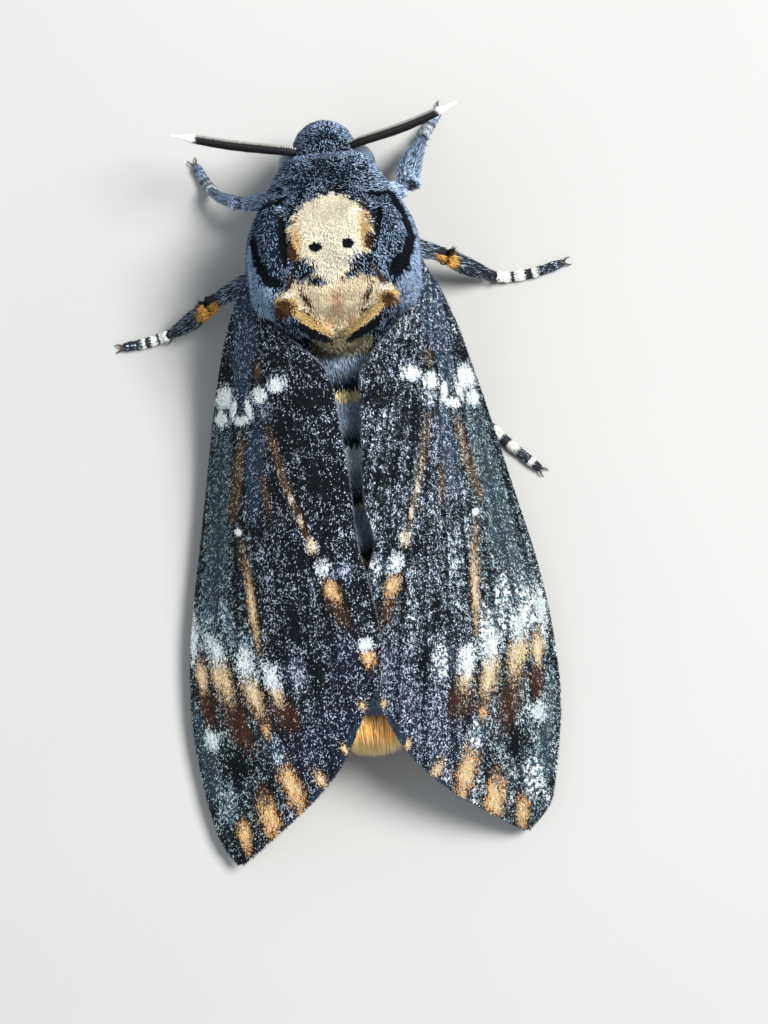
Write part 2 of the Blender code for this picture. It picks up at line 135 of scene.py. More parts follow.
def piece(name, mesh, finishes, slot, *replaced):
    """A piece of the moth from a mesh in moth millimetres."""
    mesh.transform(Matrix.Scale(MM, 4) @ Matrix.Translation(SKULL_HOME))
    mesh.materials.clear()
    for finish in finishes:
        mesh.materials.append(finish)
    return placed(name, mesh, slot, *replaced)


def eased(value, low, high):
    """0 below low, 1 above high and a smooth rise between them."""
    share = np.clip((value - low) / (high - low), 0.0, 1.0)
    return share * share * (3 - 2 * share)


def inside_ovals(points, ovals):
    """1 in the middle of the nearest of some ovals, 0 on its edge and beyond."""
    nearest = np.full(len(points), 9.0)
    for x, y, width, length, lean in ovals:
        c, s = math.cos(math.radians(lean)), math.sin(math.radians(lean))
        dx, dy = points[:, 0] - x, points[:, 1] - y
        far = np.hypot((dx * c + dy * s) / (width / 2), (dy * c - dx * s) / (length / 2))
        nearest = np.minimum(nearest, far)
    return 1 - np.minimum(nearest, 1.0)


class Wire:
    """A shader socket. Sums on wires add Math nodes, and node() adds any other node."""

    def __init__(self, socket):
        self.socket = socket

    def node(self, kind, settings=None, sockets=None, output=0):
        """Adds a node: its settings are set first, then its sockets get their values or links."""
        tree = self.socket.id_data
        made = tree.nodes.new(kind)
        for setting, value in (settings or {}).items():
            setattr(made, setting, value)
        for place, value in (sockets or {}).items():
            if isinstance(value, Wire):
                tree.links.new(value.socket, made.inputs[place])
            else:
                made.inputs[place].default_value = value
        return Wire(made.outputs[output])

    def also(self, output):
        """Another output of the same node."""
        return Wire(self.socket.node.outputs[output])

    def math(self, operation, *values):
        return self.node("ShaderNodeMath", {"operation": operation}, dict(enumerate(values)))

    def own(self, operation, *values):
        """A Math node that takes this wire first."""
        return self.math(operation, self, *values)

    def parts(self):
        """The three numbers of a place."""
        x = self.node("ShaderNodeSeparateXYZ", sockets={0: self})
        return x, x.also(1), x.also(2)

    def __add__(self, other):
        return self.math("ADD", self, other)

    def __sub__(self, other):
        return self.math("SUBTRACT", self, other)

    def __rsub__(self, other):
        return self.math("SUBTRACT", other, self)

    def __mul__(self, other):
        return self.math("MULTIPLY", self, other)

    def __truediv__(self, other):
        return self.math("DIVIDE", self, other)

    def __lt__(self, other):
        return self.math("LESS_THAN", self, other)

    __radd__, __rmul__ = __add__, __mul__


def rise(wire, low, high):
    """0 where a wire is at low, 1 where it is at high and a smooth rise between them."""
    return wire.node(
        "ShaderNodeMapRange", {"interpolation_type": "SMOOTHSTEP"},
        {"Value": wire, "From Min": low, "From Max": high},
    )


def blend(share, *colours):
    """A colour from two, each a wire or three numbers."""
    first, second = (c if isinstance(c, Wire) else (*c, 1.0) for c in colours)
    return share.node("ShaderNodeMix", {"data_type": "RGBA"}, {0: share, 6: first, 7: second}, 2)


def shift(share, first, second):
    """A number from two."""
    return share.node("ShaderNodeMix", {"data_type": "FLOAT"}, {0: share, 2: first, 3: second})


def dim(colour, amount):
    """A colour made darker, or lighter where the amount is over 1."""
    return amount.node("ShaderNodeVectorMath", {"operation": "SCALE"}, {0: colour, "Scale": amount})


def flat(x, y):
    """A place on a flat chart."""
    return x.node("ShaderNodeCombineXYZ", sockets={0: x, 1: y})


def cloud(place, scale, detail=1.0):
    """Soft noise round a half."""
    return place.node("ShaderNodeTexNoise", sockets={"Vector": place, "Scale": scale, "Detail": detail})


def nearness(chart, ovals):
    """How near a place is to the nearest of some ovals: 0 in its middle and 1 on its edge.
    An oval is told as x, y, width, length and the degrees by which its far end leans towards -x."""
    with_one = chart.node("ShaderNodeVectorMath", sockets={0: chart, 1: (0, 0, 1)})
    nearest = None
    for x, y, width, length, lean in ovals:
        c, s = math.cos(math.radians(lean)), math.sin(math.radians(lean))
        squares = 0.0
        for along_x, along_y, half in ((c, s, width / 2), (-s, c, length / 2)):
            line = (along_x / half, along_y / half, -(x * along_x + y * along_y) / half)
            off = with_one.node(
                "ShaderNodeVectorMath", {"operation": "DOT_PRODUCT"}, {0: with_one, 1: line}, "Value"
            )
            squares = off.own("MULTIPLY_ADD", off, squares)
        nearest = squares if nearest is None else nearest.own("MINIMUM", squares)
    return nearest.own("SQRT")


def painted(colour, powder, chart, frayed, chance, layers):
    """Paints layers of ovals over a colour and over its share of powdery hairs or scales.
    A layer is told as its colour, its share of powder, the softness of its edge and its ovals, and
    some also as how far they reach, where 1 is the ovals' own edge.
    Towards an edge fewer and fewer of the hairs or scales have the colour, by their chance."""
    told = None
    for new_colour, new_powder, edge, ovals, *reach in layers:
        if ovals is not told:
            far, told = nearness(chart, ovals) + frayed, ovals
        out = reach[0] if reach else 1.0
        mask = rise(far, out + edge, out - edge)
        colour = blend(chance < mask, colour, new_colour)
        powder = shift(mask, powder, new_powder)
    return colour, powder


def both_sides(ovals):
    """Ovals, and the same ovals on the moth's other side."""
    return ovals + [(-x, y, width, length, -lean) for x, y, width, length, lean in ovals]


BLACK, SOOT, SLATE = (0.004, 0.006, 0.009), (0.009, 0.021, 0.038), (0.026, 0.055, 0.095)
CREAM, TAN, AMBER, GOLD = (1.0, 0.94, 0.78), (0.85, 0.73, 0.51), (0.74, 0.53, 0.27), (0.62, 0.44, 0.20)
BONE, UMBER = (0.70, 0.65, 0.52), (0.085, 0.040, 0.018)
OLIVE, ROSE = (0.23, 0.195, 0.115), (0.72, 0.48, 0.30)
HOAR = (0.44, 0.58, 0.79)  # the blue-grey of the pale hair tips

# black grooves: round each lobe over a wing root, then beside the skull
GROOVES = [
    (5.3, -3.6, 0.45, 3.6, -66), (7.25, -1.95, 0.7, 3.0, -23), (7.4, 0.4, 0.8, 3.4, 5),
    (6.85, 2.7, 1.0, 3.0, 23), (6.1, 3.85, 1.0, 2.1, 70),
    (-4.85, -3.8, 0.45, 2.9, 86), (-6.45, -2.6, 0.7, 3.2, 27), (-7.3, -0.55, 0.8, 2.8, 17),
    (-7.25, 1.45, 1.1, 3.0, -18), (-6.25, 3.15, 1.4, 2.8, -45),
    (4.6, 0.2, 0.8, 5.0, 0), (-4.5, -0.9, 0.6, 3.2, -12),
]

BODY_MARKS = [
    # the neck's pale crease, grey sides of the chest and blue-grey lobes over the wing roots, the left
    # lobe with fewer pale tips than the right one as painted shade
    (SLATE, 0.60, 0.4, [(0.0, -7.9, 7.0, 0.6, 0)]),
    (SLATE, 0.63, 0.3, both_sides([(8.2, 1.0, 2.0, 9.0, 0), (6.9, 5.6, 2.6, 3.4, 30)])),
    # painted shade: the left lobe, turned from the light, has fewer pale tips than the right one
    (SOOT, 0.12, 0.2, [(5.9, 0.3, 3.0, 7.2, 0)]),
    (SOOT, 0.28, 0.2, [(-5.9, 0.2, 3.2, 7.2, 0)]),
    (BLACK, 0.0, 0.15, GROOVES),
    # the skull: jaw, then cranium with a column down to the jaw, ochre down its flanks
    (TAN, 0.0, 0.12, [(0.0, 5.3, 9.4, 4.4, 0), (0.0, 7.2, 4.8, 4.6, 0)]),
    (ROSE, 0.0, 0.7, [(0.9, 8.2, 0.9, 1.6, 0), (-1.2, 8.4, 0.9, 1.7, 0), (0.0, 6.4, 1.2, 2.4, 0)]),
    (CREAM, 0.0, 0.06, [(0.0, -0.2, 7.9, 7.7, 0)]),
    (CREAM, 0.0, 0.40, [(0.4, 3.1, 2.8, 3.4, 0)]),
    (BONE, 0.0, 0.7, [(0.1, 1.6, 6.2, 5.4, 0)], 0.5),
    (AMBER, 0.0, 0.8, [(3.4, 0.6, 1.2, 3.6, 0), (-3.2, -0.1, 1.0, 3.8, 0)]),
    # its two eye dots, brown temples, dark speckled cheeks and the strands on its jaw
    (UMBER, 0.0, 0.6, [(3.8, 1.6, 0.8, 2.3, 4), (-3.5, 0.9, 0.7, 1.7, -4)]),
    (BLACK, 0.19, 0.65, [
        (3.0, 3.3, 2.4, 2.0, 20), (1.8, 4.3, 2.0, 0.8, -12), (-2.9, 3.1, 2.8, 1.8, -24),
        (-1.7, 3.9, 1.8, 0.8, 14),
    ]),
    (UMBER, 0.0, 1.0, both_sides([(2.9, 5.9, 0.5, 2.2, 30), (4.3, 4.3, 0.4, 2.4, -24)])),
    (BLACK, 0.0, 0.2, [(1.6, 1.1, 1.15, 0.95, 0), (-1.5, 0.95, 1.15, 0.95, 0)]),
    # the V behind it: a gold roll with two brown-hearted lobes, a black line below the roll that is
    # painted shadow, and olive hair below
    (OLIVE, 0.03, 0.3, [(0.0, 10.3, 5.6, 3.0, 0)]),
    # painted shadow: a black line beneath the gold roll
    (BLACK, 0.0, 0.3, both_sides([(2.3, 9.1, 0.9, 4.0, 60)])),
    (GOLD, 0.0, 0.25, both_sides([(2.7, 7.9, 1.0, 5.2, 56), (4.8, 6.1, 2.3, 2.2, 0)])),
    (CREAM, 0.0, 0.8, both_sides([(4.7, 5.3, 1.8, 0.7, 0)])),
    (UMBER, 0.0, 0.5, [(5.0, 6.6, 1.9, 1.8, 0), (-4.9, 6.5, 1.5, 1.3, 0)]),
]
MARKS_RISE = (10.2, 11.6)  # the heights between which the markings of the back begin
BELLY_START = (11.2, 12.2)  # and the places between which the belly does
RING_START, RING_STEP = 14.7, 5.4  # where the belly's first whole ring starts, and its rings' length
YELLOW_ENDS, BLUE_ENDS = (0.62, 0.72), (0.60, 0.90)  # the shares of a ring where black takes over
PALE_LIT_RING = ((19.0, 19.4), (23.0, 21.6))  # where the palest ring starts and ends, a paler ring made near white as painted light in the shaded gap between the wings
BELLY_YELLOW, BELLY_BLUE, BELLY_PALE_LIT = (0.92, 0.77, 0.44), (0.36, 0.46, 0.58), (0.88, 0.97, 1.0)


def body_colours(place, chance, tint, along):
    """The colour of the body's skin or fur at a place, where along runs from a hair's root to its tip."""
    x, y, z = place.parts()
    chart = flat(x, y)
    frayed = (cloud(place, 1.7, 3.0) - 0.5) * 0.5
    ground = blend(rise(cloud(place, 0.5), 0.3, 0.7), BLACK, SOOT)
    dusting = shift(rise(cloud(place, 0.8, 2.0), 0.3, 0.7), 0.09, 0.42)
    marked, powder = painted(ground, dusting, chart, frayed, chance, BODY_MARKS)
    above = rise(z, *MARKS_RISE)
    marked, powder = blend(above, ground, marked), shift(above, 0.3, powder)

    # each ring of the belly: yellow in front, black behind, and a blue-grey stripe down its middle
    phase = ((y - RING_START) / RING_STEP + frayed * 0.08).own("FRACT")
    stripe = rise(x.own("ABSOLUTE") + frayed, 2.6, 2.0) * rise(z, 7.0, 9.0)
    ring = blend(rise(phase, *YELLOW_ENDS), BELLY_YELLOW, SOOT)
    yellow_until = shift(rise(y, 17.0, 18.0), 0.18, 0.05)
    middle = blend(rise(phase - yellow_until, 0.0, 0.04), BELLY_YELLOW, BELLY_BLUE)
    # partly painted light: a paler ring, made near white to stand for light reaching into the narrow gap
    # between the wings
    pale = rise(y + frayed, *PALE_LIT_RING[0]) * rise(y + frayed, *PALE_LIT_RING[1])
    middle = blend(pale, middle, BELLY_PALE_LIT)
    middle = blend(rise(phase, *BLUE_ENDS), middle, SOOT)
    belly = rise(y + frayed, *BELLY_START)
    marked = blend(belly, marked, blend(stripe, ring, middle))
    powder = shift(belly, powder, 0.1)

    hoary = (tint < powder) * rise(along, 0.36, 0.52)
    marked = dim(marked, (0.75 + along * 0.3) * (0.8 + tint * 0.4))
    return blend(hoary, marked, HOAR)


def finish(name, colours, settings):
    """A material. colours(wire) gives its wires by the shader's socket names, settings its constants."""
    made = bpy.data.materials.new(name)
    made.use_nodes = True
    shader = made.node_tree.nodes["Principled BSDF"]
    for socket, value in settings.items():
        shader.inputs[socket].default_value = value
    for socket, wire in colours(Wire(shader.inputs["Base Color"])).items():
        made.node_tree.links.new(wire.socket, shader.inputs[socket])
    return made


def place_on_moth(start):
    """A skin's own place in moth millimetres."""
    place = start.node("ShaderNodeTexCoord", output="Object")
    return place.node(
        "ShaderNodeVectorMath", {"operation": "MULTIPLY_ADD"},
        {0: place, 1: (1 / MM,) * 3, 2: tuple(-SKULL_HOME)},
    )


def grain(place, scale):
    """Two random numbers for each of many small cells, and the distance to the nearest cell's middle."""
    far = place.node("ShaderNodeTexVoronoi", sockets={"Vector": place, "Scale": scale}, output="Distance")
    red = far.node("ShaderNodeSeparateColor", sockets={0: far.also("Color")})
    return red, red.also(1), far


def bumped(height, strength, depth):
    """A normal from a height."""
    sockets = {"Height": height, "Strength": strength, "Distance": depth * MM}
    return height.node("ShaderNodeBump", sockets=sockets)


def grainy_finish(name, colours, cells, bump, settings):
    """A material of small rounded cells. colours takes a place and each cell's two random numbers."""
    def wires(start):
        place = place_on_moth(start)
        chance, tint, far = grain(place, cells)
        return {"Base Color": colours(place, chance, tint), "Normal": bumped(far, *bump)}

    return finish(name, wires, settings)


FUR_DEPTH, THINNER_ON_HEAD, THINNER_ON_BELLY, THINNER_ON_PALPS = 0.55, 0.15, 0.10, 0.15


def fur_depth(points):
    """How deep the body's fur is at each place: least on the palps and round the eyes."""
    y, z = points[:, 1], points[:, 2]
    depth = FUR_DEPTH - THINNER_ON_HEAD * eased(-y, 6.0, 8.5) - THINNER_ON_BELLY * eased(y, 9.0, 13.0)
    depth -= THINNER_ON_PALPS * eased(-y, 9.5, 10.5) * eased(-z, -8.0, -7.0)
    for side in (-1, 1):
        near_eye = np.linalg.norm(points - EYE_MIDDLE * (side, 1, 1), axis=1)
        depth *= 0.3 + 0.7 * eased(near_eye, EYE_REACH - 0.2, EYE_REACH + 0.6)
    return depth


EYE_REACH = 2.03
eye_low, eye_high = (on_moth(corner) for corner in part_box("eye_left"))
eye_corner = np.array((eye_high[0], eye_low[1], eye_low[2]))  # the neck hides a part of the eye's back
EYE_MIDDLE = eye_corner + EYE_REACH * np.array((-1, 1, 1))

trunk_outline = outline_of(TRUNK + BELLY, SKIN_MESH, SKIN_ROUNDS)
outer, outwards = numbers_of(trunk_outline)
hide = trunk_outline.copy()
hide.vertices.foreach_set("co", (outer - outwards * fur_depth(outer)[:, None]).ravel())
hide.update()
hide_finish = grainy_finish(
    "skin under the fur", lambda place, chance, tint: body_colours(place, chance, tint, tint * 0.5),
    6.0, (0.6, 0.06), {"Roughness": 0.8},
)
piece("body_skin", hide, [hide_finish], "dark_fur", *TRUNK, *BELLY)

# The fur: short dense hair, black with blue-grey tips, cream on the skull mark and gold on the V.
# It grows from the skin and lies back towards the tail, each tuft a closed tapering spike of hairs.
# Four pieces share it out, so that none grows too big.

TUFT_PATCH = 0.003  # the width of a tuft on the map that its colours are baked to
BODY_AXIS_Z = 8.0  # the height of the line that the body's map is wound round
noise.seed_set(7)  # without it the fur's swirls differ from run to run


def ripple(points, size):
    """A smooth random direction for each place, that changes over about size millimetres."""
    return np.array([noise.noise_vector(Vector(point) / size) for point in points.tolist()])


def unit(vectors):
    """Directions of length 1."""
    return vectors / np.maximum(np.linalg.norm(vectors, axis=1), 1e-9)[:, None]


def combed(towards, ups):
    """Directions laid flat on a surface."""
    return unit(towards - ups * (towards * ups).sum(axis=1)[:, None])


def scattered(mesh, count, seed, liked=None):
    """Places spread evenly over a mesh, or by how much each is liked, with their normals."""
    rng = np.random.default_rng(seed)
    points, normals = numbers_of(mesh)
    mesh.calc_loop_triangles()
    corners = np.empty(len(mesh.loop_triangles) * 3, dtype=np.int32)
    mesh.loop_triangles.foreach_get("vertices", corners)
    corners = corners.reshape(-1, 3)
    a, b, c = (points[corners[:, n]] for n in range(3))
    sizes = np.linalg.norm(np.cross(b - a, c - a), axis=1)
    if liked is not None:
        sizes *= liked((a + b + c) / 3)
    ladder = np.cumsum(sizes)
    picks = np.searchsorted(ladder, (np.arange(count) + rng.random(count)) / count * ladder[-1])
    picks = np.minimum(picks, len(corners) - 1)
    s, t = rng.random((2, count))
    past = s + t > 1
    s[past], t[past] = 1 - s[past], 1 - t[past]
    shares = np.stack((1 - s - t, s, t), axis=1)[:, :, None]
    places = (points[corners[picks]] * shares).sum(axis=1)
    ups = unit((normals[corners[picks]] * shares).sum(axis=1))
    return places, ups, rng


def tufts(lines, ups, widths, thicknesses, bake_map, roots, chances, material, backwards=False):
    """A mesh of closed tapering tufts, three-sided, from the wide end of each line to its point.
    lines holds the rings' middles and the points, bake_map each root's place from 0 to 1.
    backwards is for scales, whose wide end is their tip."""
    count, rings = len(ups), len(lines) - 1
    axes = unit(lines[-1] - lines[0])
    across = unit(np.cross(ups, axes))
    over = np.cross(axes, across)
    corners, alongs, patch = [], [], []
    for ring in range(rings):
        share = 1 - ring / rings * 0.7 if rings > 1 else 1.0
        half, high = (widths * share / 2)[:, None], (thicknesses * share)[:, None]
        corners += [lines[ring] - across * half, lines[ring] + across * half, lines[ring] + over * high]
        alongs += [ring / rings] * 3
        patch += [(-share, ring / rings), (share, ring / rings), (0.0, ring / rings + 0.2)]
    corners.append(lines[-1])
    alongs.append(1.0)
    patch.append((0.0, 1.0))
    points = np.stack(corners, axis=1)
    faces = [(0, 2, 1)]
    for first in range(0, 3 * rings, 3):
        for a, b in ((0, 1), (1, 2), (2, 0)):
            if first + 3 < 3 * rings:
                faces.append((first + a, first + b, first + 3 + b))
                faces.append((first + a, first + 3 + b, first + 3 + a))
            else:
                faces.append((first + a, first + b, 3 * rings))
    corner_count = points.shape[1]
    all_faces = np.array(faces)[None] + np.arange(count)[:, None, None] * corner_count
    mesh = bpy.data.meshes.new("tufts")
    mesh.from_pydata(((points + np.array(SKULL_HOME)) * MM).reshape(-1, 3), [], all_faces.reshape(-1, 3))

    along = np.tile(1 - np.array(alongs) if backwards else np.array(alongs), count)
    chance, tint = np.repeat(chances, corner_count, axis=0).T
    hair = np.stack((chance, along, tint), axis=1)
    for attribute, values in (("root", np.repeat(roots, corner_count, axis=0)), ("hair", hair)):
        made = mesh.attributes.new(attribute, "FLOAT_VECTOR", "POINT")
        made.data.foreach_set("vector", values.astype(np.float32).ravel())
    spread = (np.array(patch) - (0.0, 0.5)) * (TUFT_PATCH / 2, TUFT_PATCH)
    flat = TUFT_PATCH + bake_map[:, None] * (1 - 2 * TUFT_PATCH) + spread[None]
    layer = mesh.uv_layers.new(name="OFBake")
    layer.data.foreach_set("uv", flat.reshape(-1, 2)[all_faces.ravel()].astype(np.float32).ravel())
    mesh.materials.append(material)
    return mesh


def round_map(points, low, high):
    """Places on an unwrap of the body: round its axis, and along it from low to high."""
    turn = np.arctan2(points[:, 0], points[:, 2] - BODY_AXIS_Z) / (2 * math.pi) + 0.5
    along = np.arccos(np.clip(1 - 2 * (points[:, 1] - low) / (high - low), -1, 1)) / math.pi
    return np.stack((turn, along), axis=1)


def hair_wires(start):
    """A tuft's root on the moth, its two random numbers and how far along it a place is."""
    place = start.node("ShaderNodeAttribute", {"attribute_name": "root"}, output="Vector")
    hair = start.node("ShaderNodeAttribute", {"attribute_name": "hair"}, output="Vector")
    chance, along, tint = hair.parts()
    return place, chance, tint, along


def coat_finish(name, colours, settings):
    """A material of hairs or scales, whose colours take what hair_wires gives."""
    return finish(name, lambda start: {"Base Color": colours(*hair_wires(start))}, settings)


FUR_WIDTH, FUR_REACH = 0.13, 0.42  # a tuft's width, and how far it reaches back for its height
BELLY_FUR_WIDTH, BELLY_FUR_REACH = 0.14, 1.6
body_fur = coat_finish("fur of the body", body_colours, {"Roughness": 0.8, "Specular IOR Level": 0.15})


def fur(name, count, seed, low, high, slot, width=FUR_WIDTH, reach=FUR_REACH):
    """The fur of the body between two stations, thinner beneath and pressed down in the grooves."""
    def liked(middles):
        inside = (middles[:, 1] >= low) & (middles[:, 1] < high)
        return inside * (0.45 + 0.55 * eased(middles[:, 2], 6.0, 10.0))

    places, ups, rng = scattered(trunk_outline, count, seed, liked)
    eyes = [np.linalg.norm(places - EYE_MIDDLE * (side, 1, 1), axis=1) for side in (-1, 1)]
    clear = np.minimum(*eyes) > EYE_REACH + 0.1
    places, ups = places[clear], ups[clear]
    count = len(places)
    depth = fur_depth(places)
    roots = places - ups * depth[:, None]
    swirl = ripple(places, 1.3) * 0.5 + ripple(places, 0.45) * 0.35
    lie = combed(np.array((0.0, 1.0, 0.0)) + swirl + rng.normal(0, 0.15, (count, 3)), ups)
    lengths = (0.12 + depth * reach) * rng.uniform(0.75, 1.15, count)
    grooved = inside_ovals(places, GROOVES) ** 0.5 * (places[:, 2] > 11.0)
    droop = depth * (rng.uniform(0.0, 0.25, count) + 0.6 * grooved)
    tips = places + lie * lengths[:, None] - ups * droop[:, None]
    widths = rng.uniform(0.8, 1.2, count) * width
    coat = tufts(
        [roots, tips], ups, widths, widths * 0.4, round_map(places, low, high),
        roots * 0.3 + tips * 0.7, rng.random((count, 2)), body_fur,
    )
    placed(name, coat, slot)


fur("fur_of_head", 24000, 11, -13.0, -5.2, "dark_fur")
fur("fur_of_chest_front", 43000, 12, -5.2, 2.0, "dark_fur")
fur("fur_of_chest_back", 43000, 13, 2.0, 10.5, "dark_fur")
fur("fur_of_belly", 26000, 14, 10.5, 46.5, "abdomen_bands", BELLY_FUR_WIDTH, BELLY_FUR_REACH)

# The tail brush: a flat brush of long straight golden hair that ends the belly.
# The hairs grow from the last ring all together and end unevenly.

BRUSH_HAIRS, BRUSH_WIDTH, BRUSH_THICK = 3000, 0.14, 0.12  # how many hairs, and how thick one is
BRUSH_ROOT_Y, BRUSH_ROOTED = 43.6, 2.0  # just inside the last ring, and over how far they start
BRUSH_STRAY, BRUSH_UNEVEN = 0.12, 2.2  # how far the tips stray, and how far short the shortest ends
BRUSH_BROWN, BRUSH_GOLD = (0.70, 0.36, 0.10), (1.0, 0.62, 0.22)
BRUSH_STRAW, BRUSH_DUSK = (1.0, 0.78, 0.42), (0.10, 0.07, 0.05)


def brush_colours(place, chance, tint, along):
    """Brown at the roots, then gold and straw, dusky on top where the hairs leave the belly."""
    height = place.parts()[2]
    colour = blend(rise(along + chance * 0.3, 0.1, 0.6), BRUSH_BROWN, BRUSH_GOLD)
    colour = blend(rise(along + chance * 0.3, 0.7, 1.2), colour, BRUSH_STRAW)
    dusky = rise(height, 7.4, 8.8) * rise(along, 0.55, 0.15)
    return dim(blend(dusky, colour, BRUSH_DUSK), 0.65 + tint * 1.3)


rng = np.random.default_rng(41)
spread, turn = np.sqrt(rng.random(BRUSH_HAIRS)), rng.random(BRUSH_HAIRS) * 2 * math.pi
sideways, upwards = spread * np.cos(turn), spread * np.sin(turn)
brush_low, brush_high = (on_moth(corner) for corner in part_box("tail_tuft"))
brush_middle, brush_half = (brush_low + brush_high) / 2, (brush_high - brush_low) / 2
roots = np.stack((
    sideways * (brush_half[0] - 0.1),
    BRUSH_ROOT_Y + rng.random(BRUSH_HAIRS) * BRUSH_ROOTED,
    brush_middle[2] + upwards * (brush_half[2] - 0.2),
), axis=1)
tips = np.stack((
    sideways * (brush_half[0] - 0.35) + rng.normal(0, BRUSH_STRAY, BRUSH_HAIRS),
    brush_high[1] - 0.5 * sideways ** 2 - rng.random(BRUSH_HAIRS) ** 1.2 * BRUSH_UNEVEN,
    brush_middle[2] + upwards * (brush_half[2] - 0.35) + rng.normal(0, BRUSH_STRAY, BRUSH_HAIRS),
), axis=1)
middles = roots * 0.5 + tips * 0.5 + np.stack((sideways * 0.25, 0 * turn, upwards * 0.2), axis=1)
brush = tufts(
    [roots, middles, tips], np.tile((0.0, 0.0, 1.0), (BRUSH_HAIRS, 1)),
    np.full(BRUSH_HAIRS, BRUSH_WIDTH), np.full(BRUSH_HAIRS, BRUSH_THICK),
    np.stack((turn / (2 * math.pi), spread), axis=1), roots, rng.random((BRUSH_HAIRS, 2)),
    coat_finish("golden hair", brush_colours, {"Roughness": 0.6, "Specular IOR Level": 0.3}),
)
placed("tail_brush", brush, "ochre_fur", "tail_tuft")

# The eyes: two big round balls of many fine facets, slate blue and darker below, with a soft shine.
# Each is set into the side of the head, where the fur grows short round it.

EYE_DARK, EYE_SLATE = (0.012, 0.016, 0.026), (0.085, 0.115, 0.165)


def shaped(*parts):
    """One mesh from some bmeshes."""
    mesh = bpy.data.meshes.new("shape")
    whole = bmesh.new()
    for bm in parts:
        bm.to_mesh(mesh)
        bm.free()
        whole.from_mesh(mesh)
    whole.to_mesh(mesh)
    whole.free()
    return mesh


def eye_colours(place, chance, tint):
    """Slate blue above and nearly black below, a little different from facet to facet."""
    height = place.parts()[2]
    colour = blend(rise(height + tint, 5.5, 10.5), EYE_DARK, EYE_SLATE)
    return dim(colour, 0.8 + tint * 0.4)


eye_finish = grainy_finish("eye", eye_colours, 9.0, (0.35, 0.03), {"Roughness": 0.28, "Coat Weight": 0.25})
for side_name, side in (("left", 1), ("right", -1)):
    ball = bmesh.new()
    place = Matrix.Translation(EYE_MIDDLE * (side, 1, 1))
    bmesh.ops.create_icosphere(ball, subdivisions=5, radius=EYE_REACH, matrix=place)
    piece(f"eye_{side_name}_ball", shaped(ball), [eye_finish], "eye", f"eye_{side_name}")

# The feelers: stiff tapering rods of some seventy short rings, black, with a pale upper edge and a
# white hooked tip. The coiled tongue beneath the head is the same kind of ringed tube, brown and bare.

FEELER_RINGS, FEELER_GROOVE = 74, 0.86  # how many rings, and how thin it is between two of them
FEELER_SIDES, FEELER_SLICES = 14, 14
FEELER_FACE = (0, -0.8, 0.6)  # the way its pale edge looks
FEELER_BLACK, FEELER_PALE, FEELER_WHITE = (0.006, 0.005, 0.006), (0.50, 0.49, 0.45), (0.90, 0.89, 0.84)
TONGUE_TURNS, TONGUE_THICK, TONGUE_POINTS = 2.2, 0.62, 150
CHEST_MIDDLE = (0.0, 0.0, 4.0)  # limbs lead away from it
LIMB_MARGIN = 0.93  # a limb is not sliced nearer to its ends than this, because they are slanted


def spine(node, slices):
    """The middles and radii of even slices through a limb, from the body outwards."""
    bm = copied(node)
    points = np.array([vertex.co for vertex in bm.verts])
    centre = points.mean(axis=0)
    axis = np.linalg.svd(points - centre)[2][0]
    if axis @ (centre - CHEST_MIDDLE) < 0:
        axis = -axis
    reach = (points - centre) @ axis
    middles, radii = [], []
    for station in np.linspace(reach.min() * LIMB_MARGIN, reach.max() * LIMB_MARGIN, slices):
        sliced = bm.copy()
        made = bmesh.ops.bisect_plane(
            sliced, geom=sliced.verts[:] + sliced.edges[:] + sliced.faces[:],
            plane_co=centre + axis * station, plane_no=axis,
        )
        ring = np.array([item.co for item in made["geom_cut"] if isinstance(item, bmesh.types.BMVert)])
        sliced.free()
        middles.append(ring.mean(axis=0))
        radii.append(np.linalg.norm(ring - ring.mean(axis=0), axis=1).mean())
    bm.free()
    middles, radii = np.array(middles), np.array(radii)
    left_over = (1 / LIMB_MARGIN - 1) * np.abs(reach).max()
    middles[0] -= unit((middles[1] - middles[0])[None])[0] * left_over
    middles[-1] += unit((middles[-1] - middles[-2])[None])[0] * left_over
    return middles, radii


def drawn_out(middles, radii, count):
    """The same path told with more points."""
    old, new = np.linspace(0, 1, len(middles)), np.linspace(0, 1, count)
    return np.stack([np.interp(new, old, middles[:, n]) for n in range(3)], 1), np.interp(new, old, radii)


def tube(middles, radii, upward, sides=8):
    """A round closed tube along a path, with the attributes reach, along it, and upward, round it."""
    axes = unit(np.gradient(middles, axis=0))
    ups = combed(np.tile(np.array(upward, dtype=float), (len(middles), 1)), axes)
    across = np.cross(axes, ups)
    bm = bmesh.new()
    bmesh.ops.create_grid(bm, x_segments=sides, y_segments=len(middles) - 1, size=0.5)
    reach, facing = bm.verts.layers.float.new("reach"), bm.verts.layers.float.new("upward")
    for vertex in bm.verts:
        turn = (vertex.co.x + 0.5) * 2 * math.pi
        ring = round((vertex.co.y + 0.5) * (len(middles) - 1))
        out = ups[ring] * math.cos(turn) + across[ring] * math.sin(turn)
        vertex[reach], vertex[facing] = ring / (len(middles) - 1), math.cos(turn)
        vertex.co = middles[ring] + out * radii[ring]
    bmesh.ops.remove_doubles(bm, verts=bm.verts, dist=1e-4)
    bmesh.ops.holes_fill(bm, edges=[edge for edge in bm.edges if edge.is_boundary], sides=0)
    bmesh.ops.recalc_face_normals(bm, faces=bm.faces)
    return bm


